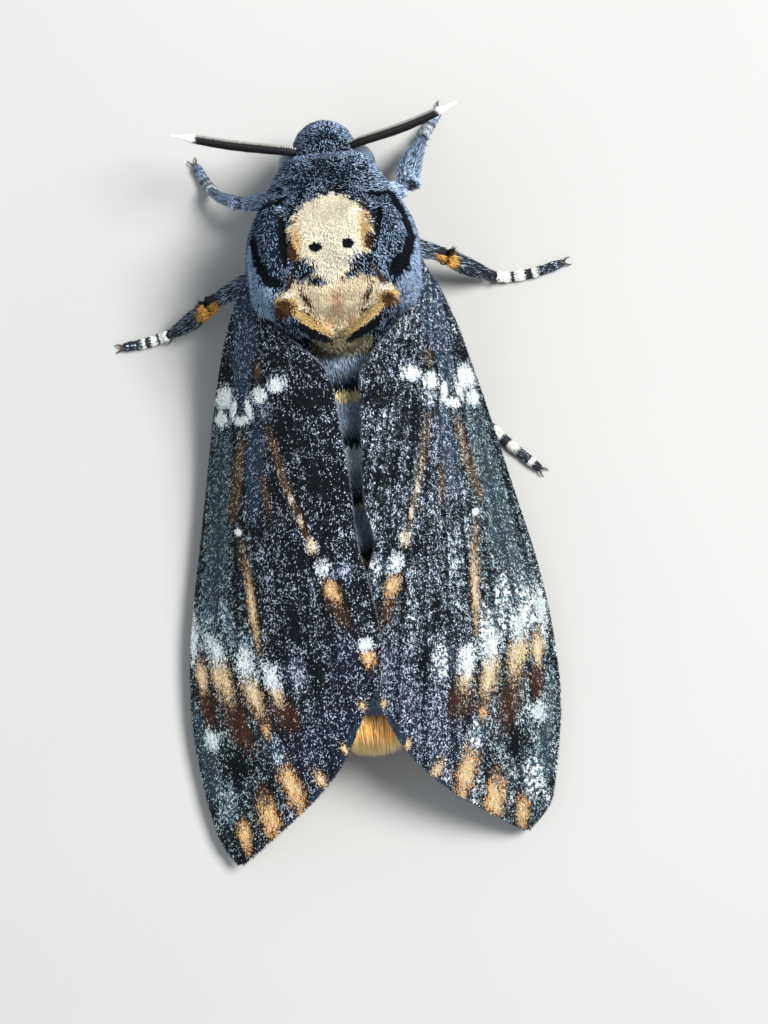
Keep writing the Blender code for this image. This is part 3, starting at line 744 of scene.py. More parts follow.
def feeler_colours(start):
    """Black with a pale line along the rings' upper edge, and a white tip."""
    reach = start.node("ShaderNodeAttribute", {"attribute_name": "reach"}, output="Fac")
    upward = start.node("ShaderNodeAttribute", {"attribute_name": "upward"}, output="Fac")
    speck, tint, _ = grain(place_on_moth(start), 8.0)
    ridge = (reach * FEELER_RINGS).own("PINGPONG", 0.5) * 2
    pale = rise(upward + (speck - 0.5) * 0.06, 0.84, 0.96) * rise(ridge, 0.2, 0.9)
    colour = blend(pale, FEELER_BLACK, FEELER_PALE)
    colour = blend(rise(reach + (speck - 0.5) * 0.04, 0.83, 0.87), colour, FEELER_WHITE)
    return {"Base Color": dim(colour, 0.7 + tint * 0.5)}


feeler_finish = finish("ringed feeler", feeler_colours, {"Roughness": 0.55, "Specular IOR Level": 0.15})
for side_name in ("left", "right"):
    slices = spine(f"antenna_{side_name}", FEELER_SLICES)
    middles, radii = drawn_out(*slices, FEELER_RINGS * 3 + 1)
    middles[0] += (middles[0] - middles[1]) * 12  # the root reaches into the head
    radii *= np.where(np.arange(len(radii)) % 3 == 0, FEELER_GROOVE, 1.0)
    radii *= 1 - 0.75 * eased(np.linspace(0, 1, len(radii)), 0.86, 1.0)
    rod = shaped(tube(middles, radii, FEELER_FACE, FEELER_SIDES))
    piece(f"feeler_{side_name}", rod, [feeler_finish], "feeler", f"antenna_{side_name}")


def horn_colours(start):
    """Dark brown, a little cloudy."""
    tint = cloud(place_on_moth(start), 3.0, 3.0)
    colour = blend(tint, (0.020, 0.011, 0.007), (0.07, 0.036, 0.020))
    return {"Base Color": colour, "Normal": bumped(tint, 0.3, 0.05)}


horn = finish("brown horn", horn_colours, {"Roughness": 0.35})
tongue_low, tongue_high = (on_moth(corner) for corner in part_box("proboscis"))
tongue_middle, tongue_reach = (tongue_low + tongue_high) / 2, (tongue_high - tongue_low)[1] / 2
turns = np.linspace(0, TONGUE_TURNS * 2 * math.pi, TONGUE_POINTS)
coil = (tongue_reach - TONGUE_THICK / 2) * (1 - 0.85 * turns / turns[-1])
middles = tongue_middle + np.stack((0 * turns, -np.cos(turns) * coil, np.sin(turns) * coil), axis=1)
radii = TONGUE_THICK / 2 * (1 - 0.6 * turns / turns[-1])
radii *= np.where(np.arange(TONGUE_POINTS) % 2, 1.0, 0.9)
piece("tongue_coil", shaped(tube(middles, radii, (1, 0, 0), 10)), [horn], "horn", "proboscis")

# Forewings: thin stiff membranes on fanned veins, covered in overlapping scales like roof tiles.
# The pattern is that of single scales, black ones and white ones in changing shares, with brown,
# ochre and white marks. It is told once for both wings, x outwards from the middle of the moth,
# but for painted shade, light and sheen that differ by side.

WING_SINK, MEMBRANE = 0.12, 0.26  # how far the sheet lies beneath its scales' tips, and its thickness
MEMBRANE_GRAIN = (5.0, (0.5, 0.05))  # its cells, and the strength and depth of their bumps
FAN_X, FAN_Y = 9.5, -4.0  # the point from which the veins and the rows of scales fan out
SCALES_EACH = 42000
SCALE_LENGTH, SCALE_WIDTH, SCALE_RISE = 0.26, 0.14, 0.08
VEIN_START, VEIN_STEP = 0.017, 0.055  # radians round that point
LIGHT_BY_SIDE = {1: 0.72, -1: 1.12}  # painted shade and light: less powder on the left wing, turned from the light, and more on the lit right one
SHEEN_BY_SIDE = {1: 0.12, -1: 0.50}  # painted sheen: a grey haze over the black scales, strong on the lit right wing and faint on the left one
FRONT_EDGE_LIGHT = {1: 1.15, -1: 0.66}  # along the front edge the painted light is set again for each side: more powder on the left wing, less on the right one

WHITE, BRIGHT_WHITE = (0.82, 0.86, 0.87), (0.92, 0.94, 0.92)
# the last of these is the grey of the painted sheen over the black scales
BLUE_POWDER, TEAL_POWDER, SHEEN_GREY = (0.60, 0.68, 0.82), (0.50, 0.64, 0.68), (0.12, 0.165, 0.20)
OCHRE_POWDER = (0.74, 0.62, 0.44)
WING_BLACK, WING_VIOLET = (0.004, 0.006, 0.009), (0.010, 0.011, 0.026)
WING_SLATE, WING_TEAL = (0.024, 0.041, 0.070), (0.030, 0.050, 0.066)
BROWN, MAROON = (0.068, 0.036, 0.018), (0.055, 0.024, 0.017)
OCHRE, ORANGE = (0.56, 0.41, 0.23), (0.60, 0.35, 0.16)
BRIGHT_OCHRE, GOLDEN = (0.86, 0.68, 0.38), (0.86, 0.60, 0.29)

OCHRE_STREAKS = [
    (16.4, 40.6, 1.0, 3.2, 6), (14.4, 41.0, 1.6, 4.3, 14), (11.4, 42.7, 1.5, 4.4, 14),
    (9.15, 42.6, 1.1, 2.6, 16), (10.7, 34.3, 0.75, 6.4, 3), (5.7, 51.2, 0.9, 1.7, 30),
    (1.0, 44.4, 0.6, 1.0, 30), (3.05, 48.5, 0.6, 1.1, 30),
]
ORANGE_STREAKS = [
    (2.85, 33.3, 1.2, 2.5, 16), (0.0, 39.8, 1.2, 1.8, 10), (8.45, 51.9, 1.7, 5.2, 20),
    (10.95, 54.9, 1.8, 3.7, 12), (13.6, 56.5, 1.2, 3.1, 5), (10.4, 46.6, 0.8, 2.2, 14),
]
WING_MARKS = [
    # the ground: violet inside and slate blue outside, black in places
    (WING_VIOLET, 0.26, 0.5, [(1.8, 41.0, 4.0, 9.0, 0), (5.0, 47.0, 6.0, 10.0, -38)]),
    (WING_SLATE, 0.20, 0.3, [(9.3, 9.0, 2.4, 13.0, -8), (9.3, 21.0, 1.8, 10.0, -6)]),
    (WING_TEAL, 0.23, 0.4, [
        (13.4, 25.5, 2.6, 20.0, -8), (15.0, 33.0, 2.6, 8.0, -8), (16.6, 49.0, 1.8, 12.0, 8),
    ]),
    (WING_BLACK, 0.04, 0.8, [
        (11.6, 11.5, 1.9, 2.2, 0), (8.1, 12.0, 1.4, 2.0, 0), (3.6, 15.2, 5.6, 1.9, 0),
        (6.2, 17.8, 1.9, 4.4, 10), (2.9, 23.0, 4.4, 1.7, 0), (4.4, 30.6, 1.2, 2.2, 16),
        (5.2, 40.8, 1.5, 3.0, 10), (13.6, 49.8, 2.0, 3.6, 10), (6.8, 36.0, 1.2, 4.0, 10),
        (5.5, 30.0, 1.3, 2.4, 20), (8.9, 46.6, 1.4, 2.0, 0),
    ]),
    (WING_SLATE, 0.04, 0.3, [
        (2.4, 47.9, 0.9, 5.6, -28), (5.9, 52.7, 0.9, 5.6, -45), (10.2, 56.6, 0.9, 6.0, -50),
    ]),
    (WING_SLATE, 0.58, 0.8, [(15.7, 37.0, 3.2, 5.6, 4), (11.6, 38.6, 2.4, 4.0, 12)]),
    # streaks between the veins: each is white in front, ochre in its middle and maroon behind
    (BROWN, 0.26, 0.6, [
        (7.2, 19.4, 0.8, 4.4, 14), (6.4, 22.7, 0.8, 4.2, 15), (5.45, 25.8, 0.7, 4.0, 18),
        (4.65, 28.2, 0.6, 2.6, 19), (10.65, 19.6, 1.0, 3.8, -12), (11.25, 22.3, 1.1, 3.8, -14),
        (11.8, 24.6, 1.0, 3.0, -10), (8.4, 23.8, 0.6, 4.2, 8), (11.1, 30.0, 0.8, 4.4, 6),
        (8.15, 11.9, 0.7, 1.6, 0), (10.6, 45.4, 1.4, 3.6, 14),
    ]),
    (MAROON, 0.08, 0.7, [
        (16.1, 43.8, 1.4, 4.4, 6), (13.45, 45.2, 2.3, 5.8, 22), (8.45, 44.7, 2.1, 4.0, 18),
        (2.4, 35.3, 1.5, 3.0, 18), (11.4, 52.9, 1.6, 2.6, 8),
    ]),
    (BROWN, 0.12, 0.5, OCHRE_STREAKS, 1.4),
    (OCHRE, 0.24, 0.7, OCHRE_STREAKS),
    (BRIGHT_OCHRE, 0.30, 0.5, OCHRE_STREAKS, 0.5),
    (BROWN, 0.12, 0.5, ORANGE_STREAKS, 1.4),
    (ORANGE, 0.16, 0.6, ORANGE_STREAKS),
    (GOLDEN, 0.20, 0.5, ORANGE_STREAKS, 0.5),
    (WHITE, 1.0, 0.5, [
        (11.75, 13.9, 1.8, 2.1, 0), (12.2, 15.9, 1.2, 1.4, 0), (10.15, 16.3, 1.5, 0.9, 0),
        (9.35, 15.3, 0.6, 2.0, 10), (10.95, 15.3, 0.6, 1.8, -10), (8.2, 14.1, 1.4, 1.6, 0),
        (6.45, 13.3, 1.7, 1.3, 20),
    ]),
    (WHITE, 0.78, 0.9, [
        (3.45, 31.1, 1.2, 1.5, 10), (0.1, 38.6, 1.4, 1.1, 0), (14.85, 38.1, 1.4, 3.2, 10),
        (17.0, 36.8, 0.8, 4.4, -4), (15.95, 46.9, 1.2, 1.8, 8), (12.0, 39.5, 1.6, 3.4, 12),
        (9.45, 41.0, 1.4, 2.6, 12),
    ]),
    (WING_SLATE, 0.60, 0.7, [
        (7.9, 15.8, 1.0, 1.6, 0), (6.95, 40.9, 1.7, 3.0, 8), (9.85, 48.3, 1.4, 3.2, 16),
        (14.95, 53.2, 2.1, 3.6, 0), (1.9, 31.4, 2.0, 1.4, 0), (13.4, 34.8, 1.4, 3.2, 0),
        (12.8, 36.9, 1.3, 3.0, 0), (15.0, 35.6, 1.3, 1.6, 0),
    ]),
    (OCHRE_POWDER, 0.75, 0.9, [
        (4.4, 28.9, 0.9, 1.2, 16), (6.0, 24.2, 0.4, 0.9, 16), (5.3, 26.4, 0.4, 1.0, 16),
    ]),
    (BRIGHT_WHITE, 1.0, 0.1, [(11.55, 26.95, 0.75, 0.75, 0)]),
]


def wing_sheet(node, sink):
    """The upper side of a wing as one smooth open sheet, laid in by the height of its scales."""
    bm = copied(node)
    other_sides = [face for face in bm.faces if face.normal.z < 0.2]
    bmesh.ops.delete(bm, geom=other_sides, context="FACES")
    bmesh.ops.join_triangles(
        bm, faces=bm.faces, angle_face_threshold=math.pi, angle_shape_threshold=math.pi
    )
    bmesh.ops.translate(bm, vec=(0, 0, -sink), verts=bm.verts)

    # a rounded sheet lies inside its corners, so they are moved out until it reaches the wing's edge
    wanted = [vertex.co.copy() for vertex in bm.verts]
    for _ in range(3):
        rounded = changed(bm.copy(), SUBSURF={"levels": 3, "render_levels": 3})
        for vertex, place, reached in zip(bm.verts, wanted, rounded.vertices):
            vertex.co += place - reached.co
        bpy.data.meshes.remove(rounded)
    return changed(bm, SUBSURF={"levels": 3, "render_levels": 3})


def wing_colours(place, side, chance, tint):
    """The colour of a forewing's upper side, where each scale is black, white or of its mark's colour."""
    x, y, _ = place.parts()
    x = x * side
    chart = flat(x, y)
    turn = x.math("ARCTAN2", x - FAN_X, y - FAN_Y)
    streaks = rise(cloud(flat(turn * 50.0, y * 0.12), 1.0), 0.3, 0.7)
    flames = cloud(flat(turn * 80.0, y * 0.8), 1.0, 3.0)
    frayed = (flames - 0.5) * 1.3 + (streaks - 0.5) * 0.3
    clumps = rise(cloud(chart, 2.3, 1.0), 0.36, 0.64)
    powder = shift(rise(cloud(chart, 0.5, 2.0), 0.36, 0.62), 0.12, 0.37) * (0.5 + streaks * 0.7)
    powder = powder + rise(x, 3.5, 6.5) * rise(y, 24.0, 30.0) * 0.06
    colour, powder = painted(WING_BLACK, powder, chart, frayed, (chance * 57.3).own("FRACT"), WING_MARKS)

    # worn in clumps where it isn't a full white mark, less powdered on the left wing and more on the right
    # as painted shade and light, thinner on the veins, and along the front edge set by side as painted
    # light too
    powder = powder * shift(rise(powder, 0.5, 0.8), (0.35 + clumps * 1.3) * LIGHT_BY_SIDE[side], 1.0)
    on_vein = rise(((turn - VEIN_START) * (2 * math.pi / VEIN_STEP)).own("COSINE"), 0.6, 1.0)
    edge = rise(x, 11.5, 13.5) * rise(y, 33.0, 29.0)
    powder = powder * shift(edge, 1.0, FRONT_EDGE_LIGHT[side]) * (1.0 - on_vein * 0.6)

    # painted sheen: black scales greyed by chance, more on the right wing, but not in the marks with the
    # least powder
    painted_sheen = rise(powder, 0.06, 0.16) * tint * tint * SHEEN_BY_SIDE[side]
    red = colour.node("ShaderNodeSeparateColor", sockets={0: colour})
    warm = rise(red - red.also(2), 0.020, 0.035)
    colour = dim(blend(painted_sheen, colour, SHEEN_GREY), 0.65 + tint * 0.7)
    white = blend(rise(x, 8.0, 12.5), BLUE_POWDER, TEAL_POWDER)
    white = blend(warm * 0.75, white, OCHRE_POWDER)
    white = blend(rise(powder, 0.5, 0.85), white, BRIGHT_WHITE)
    return blend(chance < powder, colour, dim(white, 0.7 + tint * 0.45))


def wing_finishes(name, side):
    """The finish of a forewing's membrane and that of its scales."""
    return (
        grainy_finish(
            f"{name} membrane", lambda place, chance, tint: wing_colours(place, side, chance, tint),
            *MEMBRANE_GRAIN, {"Roughness": 0.7},
        ),
        coat_finish(
            f"{name} scales", lambda place, chance, tint, along: wing_colours(place, side, chance, tint),
            {"Roughness": 0.8, "Specular IOR Level": 0.12},
        ),
    )


def underside_colours(place, chance, tint):
    """The underside of a wing: dull ochre, dusky towards the root and edge."""
    y = place.parts()[1]
    ragged = (cloud(place, 0.8, 2.0) - 0.5) * 5.0
    dusk = rise(y + ragged, 38.0, 42.0) + rise(y + ragged, 14.0, 9.0)
    return dim(blend(dusk, (0.36, 0.22, 0.07), (0.035, 0.022, 0.015)), 0.7 + tint * 0.6)


wing_underside = grainy_finish(
    "underside of the wings", underside_colours, *MEMBRANE_GRAIN, {"Roughness": 0.7}
)


def across_wing(places, sheet, side):
    """Places on a wing's own unwrap: across it from edge to edge, and along it."""
    points, _ = numbers_of(sheet)
    low, high = points[:, 1].min(), points[:, 1].max()
    stations = np.linspace(low, high, 60)
    rows = [points[np.abs(points[:, 1] - station) < 0.7, 0] * side for station in stations]
    inner = np.interp(places[:, 1], stations, [row.min() for row in rows])
    outer = np.interp(places[:, 1], stations, [row.max() for row in rows])
    across = np.clip((places[:, 0] * side - inner) / (outer - inner), 0, 1)
    return np.stack((across, (places[:, 1] - low) / (high - low)), axis=1)


def veined(places, side):
    """How high the membrane is raised over its veins."""
    turn = np.arctan2(places[:, 0] * side - FAN_X, places[:, 1] - FAN_Y)
    return 0.06 * np.cos((turn - VEIN_START) * math.pi / VEIN_STEP) ** 8


def scale_coat(sheet, side, count, seed, material):
    """Overlapping scales over a wing's sheet, in rows that fan out from its root."""
    places, ups, rng = scattered(sheet, count, seed)
    count = len(places)
    fan = places - np.array((FAN_X * side, FAN_Y, 0.0))
    lie = combed(fan * (1, 1, 0) + rng.normal(0, 2.0, (count, 3)), ups)
    lift = veined(places, side)[:, None]
    size = rng.uniform(0.8, 1.2, count)[:, None]
    chances = rng.random((count, 2))
    long = SCALE_LENGTH * size * (0.68 + 0.42 * chances[:, :1])
    lift += SCALE_RISE * rng.uniform(0.6, 1.2, (count, 1))
    free_ends = places + lie * long * 0.6 + ups * lift
    roots = places - lie * long * 0.4 - ups * 0.02
    widths = SCALE_WIDTH * size[:, 0] * (0.62 + 0.50 * chances[:, 0])
    return tufts(
        [free_ends, roots], ups, widths, widths * 0.12, across_wing(places, sheet, side),
        places, chances, material, backwards=True,
    )


FRINGE_PER_MM, FRINGE_WIDTH = 20, 0.07
FRINGE_SHORT, FRINGE_LONG = 0.16, 0.32


def fringe_colours(place, chance, tint, along):
    """Dusky hairs with paler tips."""
    colour = blend(rise(along, 0.2, 0.9), (0.04, 0.045, 0.06), (0.22, 0.25, 0.32))
    return dim(colour, 0.4 + chance * 0.9)


fringe_finish = coat_finish("fringe of the wings", fringe_colours, {"Roughness": 0.6})


def fringe(sheet, side, seed):
    """Thin hair-like scales round a wing's outer edge, pointing off it."""
    bm = bmesh.new()
    bm.from_mesh(sheet)
    rng = np.random.default_rng(seed)
    starts, outs = [], []
    for edge in bm.edges:
        if not edge.is_boundary:
            continue
        a, b = (vertex.co for vertex in edge.verts)
        middle = (a + b) / 2
        out = middle - edge.link_faces[0].calc_center_median()
        along = (b - a).normalized()
        out = (out - along * out.dot(along)).normalized()
        for _ in range(rng.poisson((b - a).length * FRINGE_PER_MM)):
            starts.append(a.lerp(b, rng.random()))
            outs.append(out)
    bm.free()
    starts, outs = np.array(starts), np.array(outs)
    count = len(starts)
    lie = unit(outs + np.array((0, 0.7, 0)) + rng.normal(0, 0.15, (count, 3)))
    tips = starts + lie * rng.uniform(FRINGE_SHORT, FRINGE_LONG, (count, 1))
    ups = np.tile((0.0, 0.0, 1.0), (count, 1))
    widths = np.full(count, FRINGE_WIDTH)
    return tufts(
        [starts - lie * 0.15, tips], ups, widths, widths * 0.5, across_wing(starts, sheet, side),
        starts, rng.random((count, 2)), fringe_finish,
    )


def wing(kind, side_name, side, coats, membrane, scales, fringe_seed=None):
    """A wing: its coats of scales, told by name, number and seed, its fringe and its membrane."""
    node, slot = f"{kind}_{side_name}", f"{kind}_scales"
    sheet = wing_sheet(node, WING_SINK)
    for coat, count, seed in coats:
        placed(f"{node}_{coat}", scale_coat(sheet, side, count, seed, scales), slot)
    if fringe_seed:
        placed(f"{node}_fringe", fringe(sheet, side, fringe_seed), slot)
    skin = piece(f"{node}_skin", sheet, [membrane, wing_underside], slot, node)
    wall = skin.modifiers.new("membrane", "SOLIDIFY")
    wall.thickness = MEMBRANE * MM
    wall.offset = -1.0
    wall.material_offset = 1


for side_name, side in (("left", 1), ("right", -1)):
    coats = [(f"scales_{layer}", SCALES_EACH, 20 + layer + side) for layer in (1, 2)]
    finishes = wing_finishes(f"{side_name} forewing", side)
    wing("forewing", side_name, side, coats, *finishes, fringe_seed=30 + side)

# Hindwings: the same kind of membrane and scales, ochre with two dark bands across.
# At rest they are folded flat beneath the forewings, so they have one coat of scales and no fringe.

HIND_SCALES = 9000
HIND_OCHRE, HIND_DARK = (0.60, 0.36, 0.08), (0.030, 0.020, 0.016)
HIND_BAND_1, HIND_BAND_2 = 28.5, 34.5  # the middles of the bands, the second one wider


def hind_colours(place, chance, tint, along=None):
    """Ochre with ragged dark bands."""
    y = place.parts()[1]
    ragged = (cloud(place, 0.9, 2.0) - 0.5) * 2.4
    dark = rise((y + ragged - HIND_BAND_1).own("ABSOLUTE"), 1.6, 1.0)
    dark = dark + rise((y + ragged - HIND_BAND_2).own("ABSOLUTE"), 2.6, 1.9)
    return dim(blend(dark, HIND_OCHRE, HIND_DARK), 0.65 + tint * 0.6 + chance * 0.1)


hind_membrane = grainy_finish("hindwing membrane", hind_colours, *MEMBRANE_GRAIN, {"Roughness": 0.7})
hind_scales = coat_finish("hindwing scales", hind_colours, {"Roughness": 0.65})
for side_name, side in (("left", 1), ("right", -1)):
    coats = [("scales", HIND_SCALES, 50 + side)]
    wing("hindwing", side_name, side, coats, hind_membrane, hind_scales)

# The legs: furry thighs and shins, blue-grey, with an orange tuft at each middle knee, and slim black
# feet ringed with white. Each leg has one skin without a seam and one coat of hair. A place on a leg
# is told by its station: 0 to 1 on the thigh, 1 to 2 on the shin and 2 to 3 on the foot.

LEG_MESH, LEG_ROUNDS, LEG_HAIRS = 0.13, 2, 5200
LEG_SLICES, LEG_POINTS = 6, 20  # slices through each of its three parts, and the points told from them
TURN_SPAN = 7  # how many points to each side a leg's direction is told from
SHIN_HAIR, FOOT_HAIR = 0.32, 0.06  # how deep the hair is
FOOT_SWELL = 0.11  # how far the feet swell past their rounded outline
FOOT_START = (1.9, 2.1)  # the stations between which the shin gives way to the foot
FLOOR_GAP = 0.03  # skin and roots stay this far above the floor
KNEE_TUFT = 0.35  # by how much the hair is longer in a middle knee's orange tuft
LEG_BLUE, FORELEG_BLUE, FOOT_BLACK = (0.014, 0.022, 0.036), (0.050, 0.080, 0.125), (0.008, 0.012, 0.020)
RING_WHITE, KNEE_ORANGE = (0.86, 0.88, 0.84), (0.76, 0.40, 0.08)
FOOT_RINGS_START, FOOT_RINGS = 2.05, 3.7  # the first ring's station, and how many rings a foot has


def leg_colours(leg_place, chance, tint, along):
    """leg_place holds a place's station, how far towards the tail it faces, and the leg's pair, where
    0 is the front one."""
    station, tailward, pair = leg_place.parts()
    shaded = rise(pair, 0.0, 1.0) * rise(station, 1.1, 1.5)
    fore = rise(pair, 1.0, 0.0)
    hind = rise(pair, 1.0, 2.0)
    end = rise(station, 2.5, 2.8) * 0.7
    frost = (0.24 + fore * 0.40) * shift(rise(station, 1.8, 2.1), 1.0, end + fore * 0.3)
    frost = frost * (1.0 - shaded * 0.3)
    foot = rise(station + shaded * 0.8, 1.7, 2.05) * (1.0 - fore * 0.8)
    colour = blend(foot, blend(fore, LEG_BLUE, FORELEG_BLUE), FOOT_BLACK)
    colour = blend((chance < frost) * rise(along, 0.1, 0.6), colour, HOAR)

    # the rings get narrower towards the claws, and on the front feet they hardly show
    joint = (station - FOOT_RINGS_START) * FOOT_RINGS
    narrower = joint * joint * shift(hind, 0.12, 0.03)
    wide = shift(hind, 0.80, 0.58)
    ring = rise(wide - joint.own("FRACT") - (tint - 0.5) * 0.10 - narrower, -0.04, 0.04)
    ring = ring * rise(station, 2.02, 2.04) * (1.0 - fore * 0.55)
    colour = blend(ring, colour, RING_WHITE)

    knee = rise(station, 0.84, 0.92) * rise(station, 1.20, 1.12) * (1.0 - (pair - 1.0).own("ABSOLUTE"))
    colour = blend(knee * rise(tailward, 0.15, -0.05), colour, BLACK)
    colour = blend(knee * rise(tailward, 0.0, 0.25), colour, KNEE_ORANGE)
    return dim(colour, (0.6 + along * 0.5) * (0.75 + tint * 0.5))


def leg_skin_colours(place, chance, tint):
    """The same on the skin, where the place on the leg is an attribute of its own."""
    leg_place = place.node("ShaderNodeAttribute", {"attribute_name": "leg"}, output="Vector")
    return leg_colours(leg_place, chance, tint, tint * 0.5 + 0.3)


leg_skin = grainy_finish("skin of the legs", leg_skin_colours, 7.0, (0.5, 0.04), {"Roughness": 0.7})
leg_hair = coat_finish("hair of the legs", leg_colours, {"Roughness": 0.7})


def on_leg(points, way):
    """For places on a leg: their stations, the leg's direction there and how far tailward they face."""
    nearest = np.argmin(np.linalg.norm(points[:, None] - way[None], axis=2), axis=1)
    further, nearer = np.minimum(nearest + TURN_SPAN, len(way) - 1), np.maximum(nearest - TURN_SPAN, 0)
    directions = unit(way[further] - way[nearer])
    offset = points - way[nearest]
    tailward = offset[:, 1] / np.maximum(np.linalg.norm(offset, axis=1), 1e-6)
    return nearest / (len(way) - 1) * 3, directions, tailward


def leg_depths(stations):
    """How deep the hair is, and how far its tips lie inside the swelled outline."""
    on_foot = eased(stations, *FOOT_START)
    return SHIN_HAIR - (SHIN_HAIR - FOOT_HAIR) * on_foot, GAP_SWELL - FOOT_SWELL * on_foot


def leg_hide(outline, way, number):
    """The skin of a leg, laid in by the depth of its hair."""
    outer, outwards = numbers_of(outline)
    stations, _, tailward = on_leg(outer, way)
    inner = outer - outwards * sum(leg_depths(stations))[:, None]
    inner[:, 2] = np.maximum(inner[:, 2], FLOOR_GAP)
    hide = outline.copy()
    hide.vertices.foreach_set("co", inner.ravel())
    hide.update()
    marks = hide.attributes.new("leg", "FLOAT_VECTOR", "POINT")
    marks.data.foreach_set("vector", np.stack((stations, tailward, stations * 0 + number), 1).ravel())
    return hide


def leg_coat(outline, way, number, seed):
    """The hair of a leg, longer in the middle knee's tuft and shorter at the front knee."""
    places, ups, rng = scattered(outline, LEG_HAIRS, seed)
    stations, ways, tailward = on_leg(places, way)
    depth, inside = leg_depths(stations)
    places = places - ups * inside[:, None]
    long = 1 + KNEE_TUFT * (number == 1) * (np.abs(stations - 1.03) < 0.12) * eased(tailward, 0.0, 0.4)
    long *= 1 - 0.5 * (number == 0) * (np.abs(stations - 1.0) < 0.15)
    lengths = (0.22 + depth * 1.6) * rng.uniform(0.7, 1.2, LEG_HAIRS) * long
    lie = combed(ways + rng.normal(0, 0.15, (LEG_HAIRS, 3)), ups)
    roots = places - ups * depth[:, None]
    tips = places + lie * lengths[:, None] - ups * (depth * rng.uniform(0.0, 0.4, LEG_HAIRS))[:, None]
    roots[:, 2] = np.maximum(roots[:, 2], FLOOR_GAP)
    tips[:, 2] = np.maximum(tips[:, 2], FLOOR_GAP - 0.01)
    widths = (0.06 + depth * 0.2) * rng.uniform(0.8, 1.2, LEG_HAIRS)
    turn = np.arctan2(ups[:, 1], ups[:, 2]) / (2 * math.pi) + 0.5
    return tufts(
        [roots, tips], ups, widths, widths * 0.5, np.stack((turn, stations / 3), axis=1),
        np.stack((stations, tailward, stations * 0 + number), 1), rng.random((LEG_HAIRS, 2)), leg_hair,
    )


# Spurs and claws: brown horn. The spurs point down the leg from the end of the shin, a long one and a
# short one together, and the two curved claws at the foot's end spread and touch the floor.

SHIN_SPURS = {"front": 0, "middle": 2, "hind": 4}
SPUR_LONG, SPUR_SHORTER, SPUR_THICK = 1.7, 0.25, 0.13  # the second of two is shorter by that share
SPUR_SPREAD, SPUR_BEND, SPUR_STEP = 0.85, 0.18, 2.2  # the second pair starts a step up the shin
CLAW_LONG, CLAW_SPREAD, CLAW_RISE, CLAW_THICK = 0.75, 0.30, 0.30, 0.13


def shin_spurs(way, count):
    """The spurs of a leg, each a thin bent cone."""
    ankle, above = way[2 * LEG_POINTS - 1], way[2 * LEG_POINTS - 10]
    shin = unit((ankle - above)[None])[0]
    sideways = np.cross(shin, (0, 0, 1))
    spurs = []
    for n in range(count):
        root = ankle - shin * (0.3 + SPUR_STEP * (n // 2))
        out = sideways * (1 if n % 2 else -1)
        length = SPUR_LONG * (1.0 - SPUR_SHORTER * (n % 2))
        tip = root + shin * length + out * SPUR_SPREAD - np.array((0, 0, 0.15))
        steps = np.linspace(0, 1, 9)[:, None]
        path = root + (tip - root) * steps + out * SPUR_BEND * np.sin(steps * math.pi)
        path[:, 2] = np.maximum(path[:, 2], SPUR_THICK)
        spurs.append(tube(path, SPUR_THICK * (1.0 - 0.85 * steps[:, 0] ** 1.5), (0, 0, 1)))
    return shaped(*spurs)


def claw_pair(way):
    """The two claws of a leg."""
    foot = unit(((way[-1] - way[-6]) * (1, 1, 0))[None])[0]
    across = np.array((-foot[1], foot[0], 0.0))
    hooks = []
    for turned in (-1, 1):
        steps = np.linspace(0, 1, 12)[:, None]
        spread = across * turned * (0.08 + CLAW_SPREAD * np.sin(steps * 2.0))
        path = way[-1] + foot * (0.1 + CLAW_LONG * steps) + spread
        path[:, 2] = 0.1 + CLAW_RISE * np.cos(steps[:, 0] * 1.6) + 0.1 * np.sin(steps[:, 0] * math.pi)
        path[:, 2] = np.maximum(path[:, 2], 0.04)
        hooks.append(tube(path, CLAW_THICK * (1.02 - 0.8 * steps[:, 0]), (0, 0, 1)))
    return shaped(*hooks)


for number, pair in enumerate(("front", "middle", "hind")):
    for side_name in ("left", "right"):
        leg = f"{pair}_{side_name}"
        nodes = [f"leg_{leg}_{part}" for part in ("femur", "tibia", "tarsus")]
        way = np.concatenate([drawn_out(*spine(node, LEG_SLICES), LEG_POINTS)[0] for node in nodes])
        outline = outline_of(nodes, LEG_MESH, LEG_ROUNDS)
        seed = 60 + number * 2 + (side_name == "left")
        piece(f"leg_{leg}_skin", leg_hide(outline, way, number), [leg_skin], "leg_fur", *nodes)
        placed(f"leg_{leg}_hair", leg_coat(outline, way, number, seed), "leg_fur")
        if SHIN_SPURS[pair]:
            piece(f"leg_{leg}_spurs", shin_spurs(way, SHIN_SPURS[pair]), [horn], "horn")
        piece(f"claws_{leg}_hooks", claw_pair(way), [horn], "horn", f"claws_{leg}")

# The floor, the light and the camera: a pale floor, a soft light high on the moth's right with a
# weaker one across from it, and the camera straight above, rolled as in the photograph.

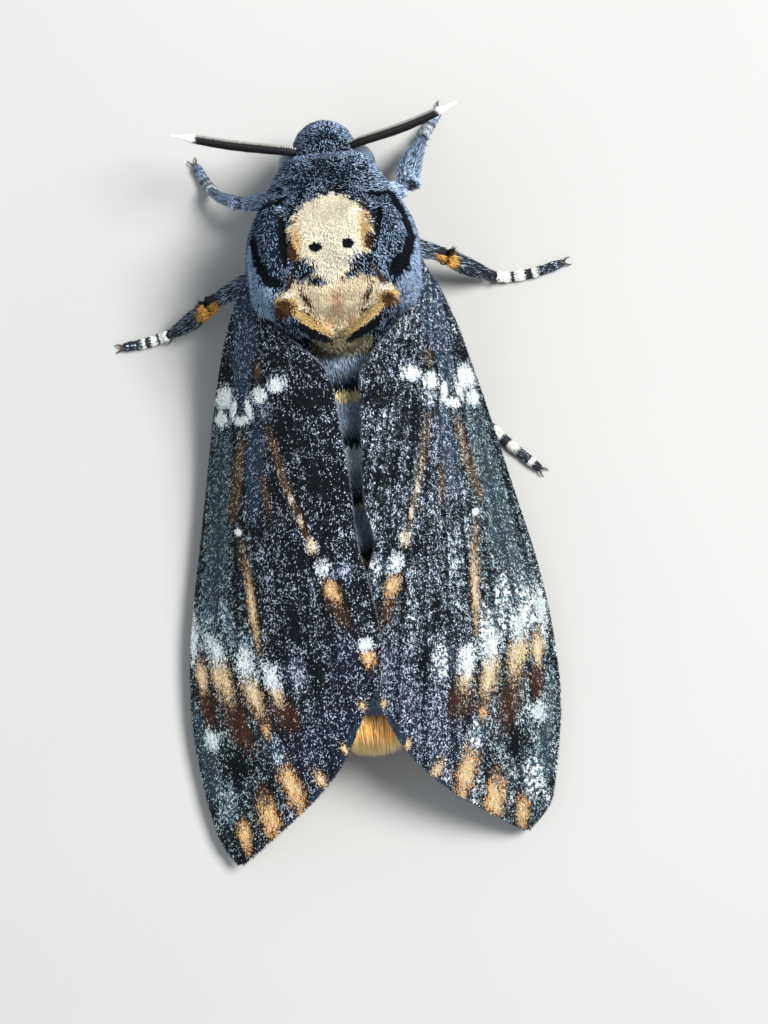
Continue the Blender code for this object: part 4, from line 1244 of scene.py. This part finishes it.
PHOTO_TALL, PHOTO_RANGE = 97.8, 300.0  # millimetres seen from top to bottom, at that distance
CAMERA_PLACE = (-2.68, 26.3, 310.0)
CAMERA_ROLL = 5.0  # degrees by which the moth's tail points to the right of straight down


SKY_COLOUR, SKY_STRENGTH = (0.86, 0.93, 1.0, 1.0), 0.50


def floor_colours(start):
    """A pale grey, a little cloudy."""
    shade = cloud(place_on_moth(start), 0.02, 3.0)
    return {"Base Color": blend(shade, (0.37, 0.37, 0.36), (0.41, 0.405, 0.395))}


square = bmesh.new()
bmesh.ops.create_grid(square, x_segments=1, y_segments=1, size=2.0)
floor_mesh = shaped(square)
floor_mesh.materials.append(finish("pale floor", floor_colours, {"Roughness": 0.9}))
floor = bpy.data.objects.new("floor", floor_mesh)
bpy.context.scene.collection.objects.link(floor)


def soft_light(name, place, size, power, colour):
    """A square area light that shines at the moth."""
    light = bpy.data.lights.new(name, "AREA")
    light.size, light.energy, light.color = size, power, colour
    lamp = bpy.data.objects.new(name, light)
    lamp.location = place
    lamp.rotation_euler = (-Vector(place)).to_track_quat("-Z", "Y").to_euler()
    bpy.context.scene.collection.objects.link(lamp)


soft_light("window light", (-0.38, -0.17, 0.56), 0.28, 10.3, (1.0, 0.99, 0.97))
soft_light("fill light", (0.45, 0.15, 0.40), 0.6, 1.1, (0.88, 0.94, 1.0))
world = bpy.data.worlds.new("soft sky")
world.use_nodes = True
world.node_tree.nodes["Background"].inputs["Color"].default_value = SKY_COLOUR
world.node_tree.nodes["Background"].inputs["Strength"].default_value = SKY_STRENGTH
bpy.context.scene.world = world
bpy.context.scene.view_settings.view_transform = "Standard"

lens = bpy.data.cameras.new("photograph's view")
lens.sensor_fit = "VERTICAL"
lens.angle = 2 * math.atan(PHOTO_TALL / 2 / PHOTO_RANGE)
lens.clip_start = 0.01
camera = bpy.data.objects.new("photograph's view", lens)
camera.location = (Vector(CAMERA_PLACE) + SKULL_HOME) * MM
camera.rotation_euler = (0.0, 0.0, math.radians(180.0 - CAMERA_ROLL))
bpy.context.scene.collection.objects.link(camera)
bpy.context.scene.camera = camera
